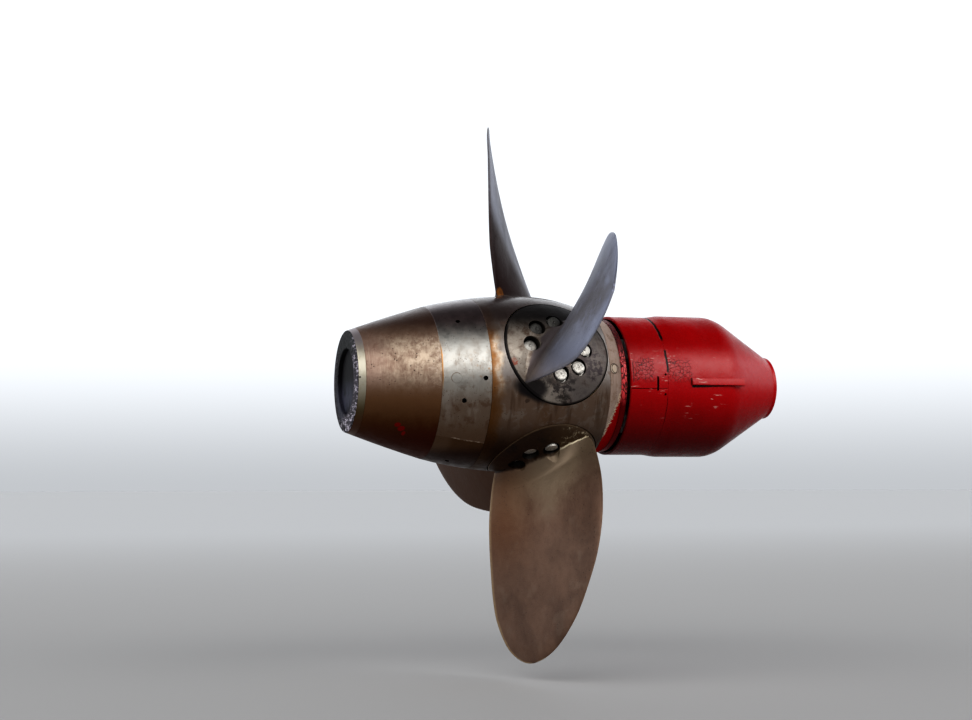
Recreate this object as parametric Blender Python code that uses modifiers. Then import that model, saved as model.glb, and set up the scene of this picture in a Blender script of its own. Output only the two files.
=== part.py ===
"""Controllable pitch ship propeller: a turned hub with four separately cast blades, its tail
shaft, and the stern boss with the split rope guard that carries it. Metres, +Z up, +X forward.
The origin is the centre of the boss's forward face, on the shaft axis. Along the shaft, the
sizes below are measured from the spindle plane, where the axes of the four blades cross."""

import math

import bmesh
import bpy
from mathutils import Vector

# Fits
SEAT_GAP = 0.0003        # between faces that rest on each other
RUNNING_GAP = 0.016      # between the turning flange and the fixed rope guard
PALM_GAP = 0.006         # round a blade's foot in its port
CRANK_GAP = 0.008        # round a crank ring
JOURNAL_GAP = 0.001      # between the shaft's liner and the stern bush

# Hub outline: two arcs that meet at the crown
HUB_RADIUS = 0.55
CROWN_X = -0.08
AFT_ARC = 2.52
FORE_ARC = 1.10

# Hub pieces, from the spindle plane outwards
BODY_AFT = 0.429
BODY_FORE = 0.351
CYLINDER_LENGTH = 0.292
CONE_LENGTH = 0.425
END_RING_LENGTH = 0.048
HUB_END_RADIUS = 0.308
CONE_BULGE = 0.004
FRONT_RING_LENGTH = 0.091
FRONT_SPIGOT_RADIUS = 0.30
CONE_SPIGOT_RADIUS = 0.36
CONE_SPIGOT_LENGTH = 0.020
CONE_MOUTH_RADIUS = 0.25
END_RING_BORE = 0.20
END_RING_ROUND = 0.008
END_PLATE_THICKNESS = 0.025
END_PLATE_REBATE = 0.012
EDGE_CHAMFER = 0.004

# Shaft line
FLANGE_STEP = 0.0017      # how far the flange stands out from the hub's front ring
FLANGE_THICKNESS = 0.038
SHAFT_RADIUS = 0.16
SHAFT_END_GAP = 0.065     # from the shaft's end to the end of its bore
LINER_WALL = 0.02
LINER_SET_BACK = 0.04     # from the liner's end to the shaft's

# Stern boss and rope guard
GUARD_STEP = 0.020        # how far the rope guard stands out from the flange
GUARD_WALL = 0.016
GUARD_LENGTH = 0.249
GUARD_SPLIT_TILT = math.radians(5.0)
GUARD_SEAT = 0.050
BOSS_STEP = 0.012         # how far its barrel stands out from the rope guard
BOSS_FLARE = 0.11
BOSS_BARREL = 0.455
BOSS_SHOULDER = 0.40
BOSS_SHOULDER_ROUND = 0.06
BOSS_NECK_RADIUS = 0.20
BOSS_NECK = 0.020
BORE_DEPTH = 0.75
BUSH_WALL = 0.034
BUSH_LENGTH = 0.52
BUSH_SET_BACK = 0.080
SEAL_RADIUS = 0.30
SEAL_LENGTH = 0.085
SEAL_GAP = 0.005
PAD_LENGTH = 0.36
PAD_HEIGHT = 0.040
PAD_STAND = 0.012
PAD_START = 0.155

# Blade feet
BLADES = 4
FIRST_BLADE_ANGLE = math.radians(22.5)   # from straight up towards +Y
PALM_RADIUS = 0.3375
PORT_WEB = 0.0165
BEARING_HEIGHT = 0.018
CRANK_RADIUS = 0.235
CRANK_HEIGHT = 0.098
CRANK_POCKET = 0.10
BOLT_CIRCLE = 0.172
BOLTS_A_SIDE = 3
BOLT_STEP = math.radians(44.0)
BOLT_SIDE_ANGLE = math.radians(-43.0)    # middle bolt of one side, from across towards +X
COUNTERBORE_RADIUS = 0.053
COUNTERBORE_FLOOR = 0.470

# Blade: its edges ahead of and behind the spindle, along its own helix, by angle of span
BLADE_TIP_RADIUS = 1.738
BLADE_ROOT_RADIUS = 0.50
ROOT_COVER = 0.03         # from the blade's buried end down to the underside of its foot
CAMBER = 0.017
ROOT_FILLET = 0.040
ROOT_FILLET_HEIGHT = 0.075
SPAN_ANGLES = (0.0, 3.0, 8.0, 16.0, 24.0, 32.0, 41.0, 50.0, 59.0, 67.0, 74.0, 80.0, 90.0)
LEADING = (0.332, 0.368, 0.407, 0.445, 0.455, 0.448, 0.398, 0.303, 0.199, 0.085, -0.021, -0.115,
           -0.280)
TRAILING = (-0.308, -0.334, -0.373, -0.425, -0.466, -0.499, -0.531, -0.543, -0.517, -0.476,
            -0.423, -0.370, -0.280)
PITCH = (3.22, 3.31, 3.43, 3.61, 3.70, 3.68, 3.66, 3.66, 3.67, 3.67, 3.66, 3.65, 3.64)
THICKNESS = (0.131, 0.121, 0.104, 0.083, 0.069, 0.059, 0.048, 0.037, 0.029, 0.023, 0.019, 0.016,
             0.012)
RAKE = (-0.003, -0.009, -0.019, -0.030, -0.037, -0.045, -0.050, -0.053, -0.056, -0.057, -0.055,
        -0.053, -0.050)
SECTION_ANGLES = (0.0, 2.3, 3.4, 4.8, 7.0, 12.0, 20.0, 29.0, 38.0, 47.0, 56.0, 64.0, 71.0, 77.0,
                  82.0, 86.5)
SECTION_POINTS = 9

# Small fittings
BAND_HOLES = 6
BAND_HOLE_RADIUS = 0.013
BAND_HOLE_DEPTH = 0.03
BAND_HOLE_SET_BACK = 0.161
BAND_HOLE_FIRST = math.radians(-45.0)
PLUG_RADIUS = 0.028
PLUG_DEPTH = 0.02
BAND_PLUG_SET_BACK = 0.209
BAND_PLUGS = 2
BAND_PLUG_FIRST = math.radians(-89.5)
RING_PLUGS = 2
RING_PLUG_SET_BACK = 0.048
RING_PLUG_FIRST = math.radians(-79.5)

SIDES = 64
SMALL_SIDES = 16
SHARP_ANGLE = math.radians(32)


def hub_radius(x):
    """Outer radius of the hub at x from the spindle plane."""
    arc = AFT_ARC if x < CROWN_X else FORE_ARC
    return HUB_RADIUS - arc + math.sqrt(arc * arc - (x - CROWN_X) ** 2)


# Places that follow from the sizes
BODY_AFT_X = -BODY_AFT
CYLINDER_AFT_X = BODY_AFT_X - CYLINDER_LENGTH
CONE_AFT_X = CYLINDER_AFT_X - CONE_LENGTH
HUB_END_X = CONE_AFT_X - END_RING_LENGTH
RING_FORE_X = BODY_FORE + FRONT_RING_LENGTH
FLANGE_FORE_X = RING_FORE_X + FLANGE_THICKNESS
GUARD_AFT_X = FLANGE_FORE_X + RUNNING_GAP
BOSS_AFT_X = GUARD_AFT_X + GUARD_LENGTH
BOSS_BORE_X = BOSS_AFT_X - GUARD_SEAT
BOSS_SHOULDER_X = BOSS_AFT_X + BOSS_BARREL
BOSS_NECK_X = BOSS_SHOULDER_X + BOSS_SHOULDER
MOUNT_X = BOSS_NECK_X + BOSS_NECK
BORE_END_X = BOSS_BORE_X + BORE_DEPTH
SHAFT_END_X = BORE_END_X - SHAFT_END_GAP
SPINDLE = Vector((-MOUNT_X, 0.0, 0.0))
FLANGE_RADIUS = hub_radius(RING_FORE_X) + FLANGE_STEP
GUARD_RADIUS = FLANGE_RADIUS + GUARD_STEP
BOSS_RADIUS = GUARD_RADIUS + BOSS_STEP
PORT_RADIUS = PALM_RADIUS + PALM_GAP
PORT_FLOOR = PORT_RADIUS + PORT_WEB
PALM_UNDERSIDE = PORT_FLOOR + BEARING_HEIGHT + 2 * SEAT_GAP
POCKET_RADIUS = CRANK_RADIUS + CRANK_GAP
LINER_RADIUS = SHAFT_RADIUS + SEAT_GAP + LINER_WALL
BUSH_BORE = LINER_RADIUS + JOURNAL_GAP
BUSH_RADIUS = BUSH_BORE + BUSH_WALL

parts = None
cutters = None


def cone_radius(x):
    """Outer radius of the hub cone and the ring at its end, which bulge a little."""
    share = (x - HUB_END_X) / (CYLINDER_AFT_X - HUB_END_X)
    seam = hub_radius(CYLINDER_AFT_X)
    return HUB_END_RADIUS + (seam - HUB_END_RADIUS) * share + 4 * CONE_BULGE * share * (1 - share)


def outline(radius_at, high_x, low_x, steps):
    """(radius, x) points of a turned outside, from high_x down to low_x."""
    step = (high_x - low_x) / steps
    return [(radius_at(high_x - i * step), high_x - i * step) for i in range(steps + 1)]


def clear_scene():
    for obj in list(bpy.data.objects):
        bpy.data.objects.remove(obj)


def new_collection(name):
    collection = bpy.data.collections.new(name)
    bpy.context.scene.collection.children.link(collection)
    return collection


def material(name, colour, roughness, metallic):
    mat = bpy.data.materials.new(name)
    mat.use_nodes = True
    shader = mat.node_tree.nodes["Principled BSDF"]
    shader.inputs["Base Color"].default_value = (*colour, 1.0)
    shader.inputs["Roughness"].default_value = roughness
    shader.inputs["Metallic"].default_value = metallic
    mat.diffuse_color = (*colour, 1.0)
    return mat


def add_object(name, mesh, collection, parent=None):
    obj = bpy.data.objects.new(name, mesh)
    collection.objects.link(obj)
    obj.parent = parent
    return obj


def as_cutter(obj):
    obj.hide_render = True
    obj.display_type = "WIRE"
    return obj


def turned(name, profile, collection, closed=False, sides=SIDES):
    """A solid turned round local Z from (radius, z) points that run down its outside."""
    mesh = bpy.data.meshes.new(name)
    points = [(radius, 0.0, z) for radius, z in profile]
    edges = [(i, i + 1) for i in range(len(points) - 1)]
    if closed:
        edges.append((len(points) - 1, 0))
    mesh.from_pydata(points, edges, [])
    obj = add_object(name, mesh, collection)
    screw = obj.modifiers.new("Turn", "SCREW")
    screw.steps = sides
    screw.render_steps = sides
    screw.use_merge_vertices = True
    screw.merge_threshold = 0.00001
    screw.use_smooth_shade = True
    return obj


def lay_along_shaft(obj, parent):
    """Turns local Z to the shaft's direction and hangs the piece on its axis."""
    obj.parent = parent
    obj.rotation_euler = (0.0, math.radians(90), 0.0)
    return obj


def drum(name, radius, low_z, high_z, sides, collection):
    """A plain cylinder round local Z."""
    bm = bmesh.new()
    bmesh.ops.create_cone(bm, cap_ends=True, segments=sides, radius1=radius, radius2=radius,
                          depth=high_z - low_z)
    bmesh.ops.translate(bm, verts=bm.verts, vec=(0.0, 0.0, (high_z + low_z) / 2))
    mesh = bpy.data.meshes.new(name)
    bm.to_mesh(mesh)
    bm.free()
    return add_object(name, mesh, collection)


def block(name, low, high, collection):
    """A box between two corners."""
    bm = bmesh.new()
    bmesh.ops.create_cube(bm, size=1.0)
    size = Vector(high) - Vector(low)
    bmesh.ops.scale(bm, verts=bm.verts, vec=size)
    bmesh.ops.translate(bm, verts=bm.verts, vec=(Vector(high) + Vector(low)) / 2)
    mesh = bpy.data.meshes.new(name)
    bm.to_mesh(mesh)
    bm.free()
    return add_object(name, mesh, collection)


def combine(obj, operand, operation):
    """Adds a Boolean with a helper, which then stays out of the model."""
    boolean = obj.modifiers.new(operand.name, "BOOLEAN")
    boolean.operation = operation
    boolean.solver = "EXACT"
    boolean.object = as_cutter(operand)
    return obj


def frozen_mesh(obj, name):
    """The object's evaluated mesh, with its round faces shaded smooth."""
    bpy.context.view_layer.update()
    graph = bpy.context.evaluated_depsgraph_get()
    mesh = bpy.data.meshes.new_from_object(obj.evaluated_get(graph))
    mesh.name = name
    mesh.shade_smooth()
    mesh.set_sharp_from_angle(angle=SHARP_ANGLE)
    return mesh


def finish(obj, mat):
    obj.data.materials.clear()
    obj.data.materials.append(mat)


def empty(name, location, parent=None, turn=0.0):
    obj = bpy.data.objects.new(name, None)
    parts.objects.link(obj)
    obj.empty_display_size = 0.3
    obj.parent = parent
    obj.location = location
    obj.rotation_euler = (turn, 0.0, 0.0)
    return obj


def through_points(xs, ys, x):
    """A smooth curve through the points, at x."""
    slopes = []
    for i in range(len(xs)):
        low = max(i - 1, 0)
        high = min(i + 1, len(xs) - 1)
        slopes.append((ys[high] - ys[low]) / (xs[high] - xs[low]))
    i = max(k for k in range(len(xs) - 1) if xs[k] <= x)
    span = xs[i + 1] - xs[i]
    t = (x - xs[i]) / span
    start = (1 + 2 * t) * (1 - t) ** 2 * ys[i] + t * (1 - t) ** 2 * span * slopes[i]
    end = t * t * (3 - 2 * t) * ys[i + 1] + t * t * (t - 1) * span * slopes[i + 1]
    return start + end


def blade_section(angle, buried=False):
    """One blade section as points round its edge. A buried one is flat, inside the foot."""
    share = math.sin(math.radians(angle))
    radius = BLADE_ROOT_RADIUS + (BLADE_TIP_RADIUS - BLADE_ROOT_RADIUS) * share
    leading, trailing, pitch, thickness, rake = (
        through_points(SPAN_ANGLES, row, angle)
        for row in (LEADING, TRAILING, PITCH, THICKNESS, RAKE))
    helix = math.atan2(pitch, 2 * math.pi * radius)
    chord = leading - trailing
    middle = (leading + trailing) / 2
    height = max(radius - HUB_RADIUS, 0.0)
    flare = ROOT_FILLET * max(1 - height / ROOT_FILLET_HEIGHT, 0.0) ** 2
    ring = []
    for side in (1, -1):
        for i in range(SECTION_POINTS + 1):
            turn = math.pi * i / (SECTION_POINTS + 1)
            along = side * math.cos(turn)
            half = side * (thickness / 2 + flare) * math.sin(turn)
            lift = half + CAMBER * chord * (1 - share) * (1 - along * along)
            reach = middle + chord / 2 * along
            x = rake + reach * math.sin(helix) + lift * math.cos(helix)
            arc = reach * math.cos(helix) - lift * math.sin(helix)
            if buried:
                ring.append((x, arc, PALM_UNDERSIDE + ROOT_COVER))
            else:
                ring.append((x, radius * math.sin(arc / radius), radius * math.cos(arc / radius)))
    return ring


def blade_loft():
    """The blade alone, spindle up, as a loft through its sections."""
    bm = bmesh.new()
    rings = [blade_section(SECTION_ANGLES[0], buried=True)]
    rings += [blade_section(angle) for angle in SECTION_ANGLES]
    loops = [[bm.verts.new(point) for point in ring] for ring in rings]
    count = len(loops[0])
    for low, high in zip(loops, loops[1:]):
        for i in range(count):
            j = (i + 1) % count
            bm.faces.new((low[i], low[j], high[j], high[i]))
    bm.faces.new(loops[0])
    bm.faces.new(loops[-1])
    bmesh.ops.recalc_face_normals(bm, faces=bm.faces)
    mesh = bpy.data.meshes.new("blade_loft")
    bm.to_mesh(mesh)
    bm.free()
    return mesh


def hub_solid(name, collection):
    """The hub's whole outside as one solid, turned round X at the spindle plane."""
    outside = outline(hub_radius, BODY_FORE, BODY_AFT_X, 14)
    profile = [(0.0, BODY_FORE)] + outside + [(0.0, BODY_AFT_X)]
    obj = turned(name, profile, collection)
    obj.rotation_euler = (FIRST_BLADE_ANGLE, math.radians(90), 0.0)
    return obj


def bolt_angles():
    """Angles of a foot's bolts, from across the shaft towards +X."""
    middle = (BOLTS_A_SIDE - 1) / 2
    return [BOLT_SIDE_ANGLE + side + (i - middle) * BOLT_STEP
            for side in (0.0, math.pi) for i in range(BOLTS_A_SIDE)]


def blade_mesh():
    """A blade and its foot as one casting, spindle up."""
    foot = drum("foot", PALM_RADIUS, PALM_UNDERSIDE, HUB_RADIUS + PALM_GAP, SIDES, cutters)
    combine(foot, hub_solid("foot_crown", cutters), "INTERSECT")
    combine(foot, add_object("blade_root", blade_loft(), cutters), "UNION")
    for i, angle in enumerate(bolt_angles()):
        hole = drum(f"counterbore_{i}", COUNTERBORE_RADIUS, COUNTERBORE_FLOOR, HUB_RADIUS,
                    SMALL_SIDES, cutters)
        hole.location = (BOLT_CIRCLE * math.sin(angle), BOLT_CIRCLE * math.cos(angle), 0.0)
        combine(foot, hole, "DIFFERENCE")
    mesh = frozen_mesh(foot, "blade")
    as_cutter(foot)
    return mesh


def ring_on_spindle(name, bore, radius, low_z, high_z):
    """A flat ring round a spindle."""
    profile = [(radius, high_z), (radius, low_z), (bore, low_z), (bore, high_z)]
    return turned(name, profile, parts, closed=True)


def build_blades(rotor, finishes):
    """The blades, each hung on its own spindle, with the rings that hold it in the hub."""
    mesh = blade_mesh()
    for number in range(1, BLADES + 1):
        turn = FIRST_BLADE_ANGLE + (number - 1) * 2 * math.pi / BLADES
        spindle = empty(f"spindle_{number}", (0.0, 0.0, 0.0), rotor, -turn)
        blade = add_object(f"blade_{number}", mesh, parts, spindle)
        finish(blade, finishes["blade"])
        crank = drum(f"crank_ring_{number}", CRANK_RADIUS,
                     PALM_UNDERSIDE - SEAT_GAP - CRANK_HEIGHT, PALM_UNDERSIDE - SEAT_GAP, SIDES // 2,
                     parts)
        crank.parent = spindle
        finish(crank, finishes["steel"])
        bearing = ring_on_spindle(f"blade_bearing_{number}", POCKET_RADIUS, PORT_RADIUS - SEAT_GAP,
                                  PORT_FLOOR + SEAT_GAP, PORT_FLOOR + SEAT_GAP + BEARING_HEIGHT)
        bearing.parent = spindle
        finish(bearing, finishes["bearing"])


def build_hub_body(rotor, finishes):
    """The hub's middle casting, with a port for each blade foot."""
    front = [(0.0, RING_FORE_X - SEAT_GAP), (FRONT_SPIGOT_RADIUS, RING_FORE_X - SEAT_GAP),
             (FRONT_SPIGOT_RADIUS, BODY_FORE)]
    outside = outline(hub_radius, BODY_FORE, BODY_AFT_X, 14)
    body = turned("hub_body", front + outside + [(0.0, BODY_AFT_X)], parts)
    lay_along_shaft(body, rotor)
    for number in range(1, BLADES + 1):
        turn = FIRST_BLADE_ANGLE + (number - 1) * 2 * math.pi / BLADES
        for name, radius, floor, ceiling in (
                ("port", PORT_RADIUS, PORT_FLOOR, HUB_RADIUS + PALM_GAP),
                ("pocket", POCKET_RADIUS, PORT_FLOOR - CRANK_POCKET, PORT_FLOOR + BEARING_HEIGHT)):
            hole = drum(f"{name}_{number}", radius, floor, ceiling, SIDES, cutters)
            hole.parent = rotor
            hole.rotation_euler = (-turn, 0.0, 0.0)
            combine(body, hole, "DIFFERENCE")
    finish(body, finishes["hub"])


def plug_place(set_back_x, angle):
    """Where a small fitting sits on the hub's outside, and how it is turned."""
    radius = hub_radius(set_back_x)
    return (set_back_x, radius * math.sin(angle), radius * math.cos(angle)), (-angle, 0.0, 0.0)


def build_plugs(owner, name, x, angles, rotor, finish_with):
    """Round plugs let into the hub's outside, flush with it."""
    for i, angle in enumerate(angles):
        place, turn = plug_place(x, angle)
        pocket = drum(f"{name}_pocket_{i}", PLUG_RADIUS + SEAT_GAP, -PLUG_DEPTH - SEAT_GAP, PLUG_DEPTH,
                      SMALL_SIDES, cutters)
        plug = drum(f"{name}_{i + 1}", PLUG_RADIUS, -PLUG_DEPTH, 0.0, SMALL_SIDES, parts)
        for obj in (pocket, plug):
            obj.parent = rotor
            obj.location = place
            obj.rotation_euler = turn
        combine(owner, pocket, "DIFFERENCE")
        finish(plug, finish_with)


def build_cylinder(rotor, finishes):
    """The servo cylinder, the bare metal band, with its spigot for the cone."""
    fore_x = BODY_AFT_X - SEAT_GAP
    outside = outline(hub_radius, fore_x, CYLINDER_AFT_X, 4)
    spigot_x = CYLINDER_AFT_X - CONE_SPIGOT_LENGTH
    profile = [(0.0, fore_x)] + outside + [
        (CONE_SPIGOT_RADIUS, CYLINDER_AFT_X), (CONE_SPIGOT_RADIUS, spigot_x), (0.0, spigot_x)]
    cylinder = lay_along_shaft(turned("servo_cylinder", profile, parts), rotor)
    for i in range(BAND_HOLES):
        place, turn = plug_place(BODY_AFT_X - BAND_HOLE_SET_BACK,
                                 BAND_HOLE_FIRST - i * 2 * math.pi / BAND_HOLES)
        hole = drum(f"band_hole_{i}", BAND_HOLE_RADIUS, -BAND_HOLE_DEPTH, BAND_HOLE_DEPTH,
                    SMALL_SIDES, cutters)
        hole.parent = rotor
        hole.location = place
        hole.rotation_euler = turn
        combine(cylinder, hole, "DIFFERENCE")
    angles = [BAND_PLUG_FIRST + i * 2 * math.pi / BAND_PLUGS for i in range(BAND_PLUGS)]
    build_plugs(cylinder, "band_plug", BODY_AFT_X - BAND_PLUG_SET_BACK, angles, rotor,
                finishes["steel"])
    finish(cylinder, finishes["band"])


def build_cone(rotor, finishes):
    """The hub cone, the ring at its end and the plate let into that ring."""
    fore_x = CYLINDER_AFT_X - SEAT_GAP
    inner = [(CONE_MOUTH_RADIUS, CONE_AFT_X),
             (CONE_SPIGOT_RADIUS + SEAT_GAP, CYLINDER_AFT_X - CONE_SPIGOT_LENGTH - SEAT_GAP),
             (CONE_SPIGOT_RADIUS + SEAT_GAP, fore_x)]
    outside = outline(cone_radius, fore_x, CONE_AFT_X, 5)
    cone = turned("hub_cone", outside + inner, parts, closed=True)
    lay_along_shaft(cone, rotor)
    finish(cone, finishes["cone"])
    ring_x = CONE_AFT_X - SEAT_GAP
    plate_radius = END_RING_BORE + END_PLATE_REBATE
    plate_x = ring_x - END_PLATE_THICKNESS
    outside = outline(cone_radius, ring_x, HUB_END_X + END_RING_ROUND, 2)
    inner = [(HUB_END_RADIUS - END_RING_ROUND, HUB_END_X), (END_RING_BORE, HUB_END_X),
             (END_RING_BORE, plate_x - SEAT_GAP), (plate_radius + SEAT_GAP, plate_x - SEAT_GAP),
             (plate_radius + SEAT_GAP, ring_x)]
    ring = turned("cone_end_ring", outside + inner, parts, closed=True)
    lay_along_shaft(ring, rotor)
    finish(ring, finishes["band"])
    plate = turned("cone_end_plate", [(0.0, ring_x), (plate_radius, ring_x), (plate_radius, plate_x),
                                      (0.0, plate_x)], parts)
    lay_along_shaft(plate, rotor)
    finish(plate, finishes["dark"])


def build_front_ring(rotor, finishes):
    """The ring between the hub body and the shaft flange."""
    bore = FRONT_SPIGOT_RADIUS + SEAT_GAP
    aft_x = BODY_FORE + SEAT_GAP
    fore_x = RING_FORE_X - SEAT_GAP
    profile = outline(hub_radius, fore_x, aft_x, 3) + [(bore, aft_x), (bore, fore_x)]
    ring = lay_along_shaft(turned("hub_front_ring", profile, parts, closed=True), rotor)
    angles = [RING_PLUG_FIRST + i * 2 * math.pi / RING_PLUGS for i in range(RING_PLUGS)]
    build_plugs(ring, "ring_plug", RING_FORE_X - FRONT_RING_LENGTH + RING_PLUG_SET_BACK, angles, rotor,
                finishes["steel"])
    finish(ring, finishes["ring"])


def build_shaft(rotor, finishes):
    """The tail shaft with its flange, and the liner shrunk on it."""
    profile = [(0.0, SHAFT_END_X), (SHAFT_RADIUS, SHAFT_END_X), (SHAFT_RADIUS, FLANGE_FORE_X),
               (FLANGE_RADIUS - EDGE_CHAMFER, FLANGE_FORE_X),
               (FLANGE_RADIUS, FLANGE_FORE_X - EDGE_CHAMFER), (FLANGE_RADIUS, RING_FORE_X),
               (0.0, RING_FORE_X)]
    shaft = lay_along_shaft(turned("tail_shaft", profile, parts), rotor)
    finish(shaft, finishes["flange"])
    aft_x = FLANGE_FORE_X + SEAT_GAP
    fore_x = SHAFT_END_X - LINER_SET_BACK
    bore = SHAFT_RADIUS + SEAT_GAP
    profile = [(LINER_RADIUS, fore_x), (LINER_RADIUS, aft_x), (bore, aft_x), (bore, fore_x)]
    liner = lay_along_shaft(turned("shaft_liner", profile, parts, closed=True), rotor)
    finish(liner, finishes["bearing"])


def build_boss(frame, finishes):
    """The stern boss, its bush, its seal housing and the pad on its side."""
    bore = BUSH_RADIUS + SEAT_GAP
    seat = GUARD_RADIUS - GUARD_WALL - SEAT_GAP
    slope = (BOSS_RADIUS - BOSS_NECK_RADIUS) / BOSS_SHOULDER
    profile = [(0.0, MOUNT_X), (BOSS_NECK_RADIUS, MOUNT_X), (BOSS_NECK_RADIUS, BOSS_NECK_X),
               (BOSS_RADIUS - slope * BOSS_SHOULDER_ROUND, BOSS_SHOULDER_X + BOSS_SHOULDER_ROUND),
               (BOSS_RADIUS - slope * BOSS_SHOULDER_ROUND / 4, BOSS_SHOULDER_X),
               (BOSS_RADIUS, BOSS_SHOULDER_X - BOSS_SHOULDER_ROUND),
               (BOSS_RADIUS, BOSS_AFT_X + BOSS_FLARE), (GUARD_RADIUS, BOSS_AFT_X),
               (seat, BOSS_AFT_X), (seat, BOSS_BORE_X), (bore, BOSS_BORE_X), (bore, BORE_END_X),
               (0.0, BORE_END_X)]
    boss = lay_along_shaft(turned("stern_boss", profile, parts), frame)
    finish(boss, finishes["paint"])
    low_x = BOSS_BORE_X + BUSH_SET_BACK
    profile = [(BUSH_RADIUS, low_x + BUSH_LENGTH), (BUSH_RADIUS, low_x), (BUSH_BORE, low_x),
               (BUSH_BORE, low_x + BUSH_LENGTH)]
    bush = lay_along_shaft(turned("stern_bush", profile, parts, closed=True), frame)
    finish(bush, finishes["bearing"])
    high_x = BOSS_BORE_X - SEAT_GAP
    inner = LINER_RADIUS + SEAL_GAP
    profile = [(SEAL_RADIUS, high_x), (SEAL_RADIUS, high_x - SEAL_LENGTH),
               (inner, high_x - SEAL_LENGTH), (inner, high_x)]
    seal = lay_along_shaft(turned("seal_housing", profile, parts, closed=True), frame)
    finish(seal, finishes["steel"])
    start_x = BOSS_AFT_X + PAD_START
    pad = block("boss_pad", (start_x, -BOSS_RADIUS - PAD_STAND, -PAD_HEIGHT / 2),
                (start_x + PAD_LENGTH, -BOSS_RADIUS + PAD_STAND, PAD_HEIGHT / 2), parts)
    pad.parent = frame
    back = drum("pad_back", BOSS_RADIUS + SEAT_GAP, BOSS_AFT_X, BOSS_NECK_X, SIDES, cutters)
    combine(pad, lay_along_shaft(back, frame), "DIFFERENCE")
    finish(pad, finishes["paint"])


def build_rope_guard(frame, finishes):
    """The rope guard: a tube in two halves, seated on the boss's spigot."""
    inner = GUARD_RADIUS - GUARD_WALL
    fore_x = BOSS_AFT_X - SEAT_GAP
    profile = [(GUARD_RADIUS, fore_x), (GUARD_RADIUS, GUARD_AFT_X + EDGE_CHAMFER),
               (GUARD_RADIUS - EDGE_CHAMFER, GUARD_AFT_X), (inner, GUARD_AFT_X), (inner, fore_x)]
    reach = 2 * GUARD_RADIUS
    for name, low_z, high_z in (("rope_guard_upper", -reach, SEAT_GAP / 2),
                                ("rope_guard_lower", -SEAT_GAP / 2, reach)):
        half = lay_along_shaft(turned(name, profile, parts, closed=True), frame)
        other = block(f"{name}_other_half", (GUARD_AFT_X - reach, -reach, low_z),
                      (fore_x + reach, reach, high_z), cutters)
        other.parent = frame
        other.rotation_euler = (GUARD_SPLIT_TILT, 0.0, 0.0)
        combine(half, other, "DIFFERENCE")
        finish(half, finishes["paint"])


def main():
    global parts, cutters
    clear_scene()
    parts = new_collection("ship_propeller")
    cutters = new_collection("cutters")
    finishes = {
        "blade": material("blade_bronze", (0.36, 0.33, 0.33), 0.38, 0.9),
        "hub": material("hub_bronze", (0.33, 0.26, 0.20), 0.42, 0.9),
        "band": material("bare_metal", (0.55, 0.55, 0.52), 0.34, 1.0),
        "cone": material("cone_bronze", (0.30, 0.20, 0.12), 0.42, 0.9),
        "ring": material("scraped_ring", (0.50, 0.42, 0.36), 0.5, 0.7),
        "flange": material("flange_paint", (0.40, 0.03, 0.04), 0.4, 0.0),
        "paint": material("boss_paint", (0.42, 0.005, 0.01), 0.25, 0.0),
        "steel": material("fitting_steel", (0.45, 0.45, 0.43), 0.4, 1.0),
        "bearing": material("bearing_bronze", (0.42, 0.30, 0.14), 0.4, 1.0),
        "dark": material("recess_plate", (0.06, 0.06, 0.08), 0.6, 0.3),
    }
    frame = empty("stern_frame", SPINDLE)
    rotor = empty("shaft_axis", SPINDLE)
    build_boss(frame, finishes)
    build_rope_guard(frame, finishes)
    build_shaft(rotor, finishes)
    build_front_ring(rotor, finishes)
    build_hub_body(rotor, finishes)
    build_cylinder(rotor, finishes)
    build_cone(rotor, finishes)
    build_blades(rotor, finishes)


if __name__ == "__main__":
    main()
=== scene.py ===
"""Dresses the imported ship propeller: fine turned metal, cast blades, bolts and weathered finishes.

Every piece is in metres in the frame of the CAD model: +X forward along the shaft, +Z up, with the
origin at the centre of the stern boss's flat forward face. Sizes along the shaft are given from the
spindle plane, where the axes of the four blades cross. Places in the finishes' patterns are in the
CAD model's frame, apart from those on the blades, which are laid out as if each spindle stood up.
"""

import logging
import math
from dataclasses import dataclass
from enum import Enum

import bmesh
import bpy
from mathutils import Matrix, Vector


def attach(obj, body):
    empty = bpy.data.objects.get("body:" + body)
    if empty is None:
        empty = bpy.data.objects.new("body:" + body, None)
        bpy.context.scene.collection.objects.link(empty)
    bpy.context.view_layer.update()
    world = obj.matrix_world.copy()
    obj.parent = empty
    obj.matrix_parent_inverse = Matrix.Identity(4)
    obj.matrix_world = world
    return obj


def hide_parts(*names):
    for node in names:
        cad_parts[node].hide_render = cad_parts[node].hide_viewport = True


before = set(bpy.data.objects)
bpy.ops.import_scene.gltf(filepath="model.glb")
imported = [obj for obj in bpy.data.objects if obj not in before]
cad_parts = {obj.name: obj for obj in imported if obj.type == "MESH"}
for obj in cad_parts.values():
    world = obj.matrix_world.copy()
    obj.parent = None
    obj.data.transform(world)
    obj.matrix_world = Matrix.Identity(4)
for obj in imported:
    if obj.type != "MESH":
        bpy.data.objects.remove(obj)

LOG = logging.getLogger("propeller")
Colour = tuple[float, float, float]
Point = tuple[float, float]
Material = bpy.types.Material
Mesh = bpy.types.Mesh
Piece = bpy.types.Object
Socket = bpy.types.NodeSocket
Value = Socket | float
Tone = Socket | Colour

SPINDLE_X = -1.62


class Body(Enum):
    """The bodies of the CAD model that pieces ride on."""

    STERN = "stern_frame"
    ROTOR = "rotor"
    BLADE_1 = "blade_1_body"
    BLADE_2 = "blade_2_body"
    BLADE_3 = "blade_3_body"
    BLADE_4 = "blade_4_body"


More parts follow.
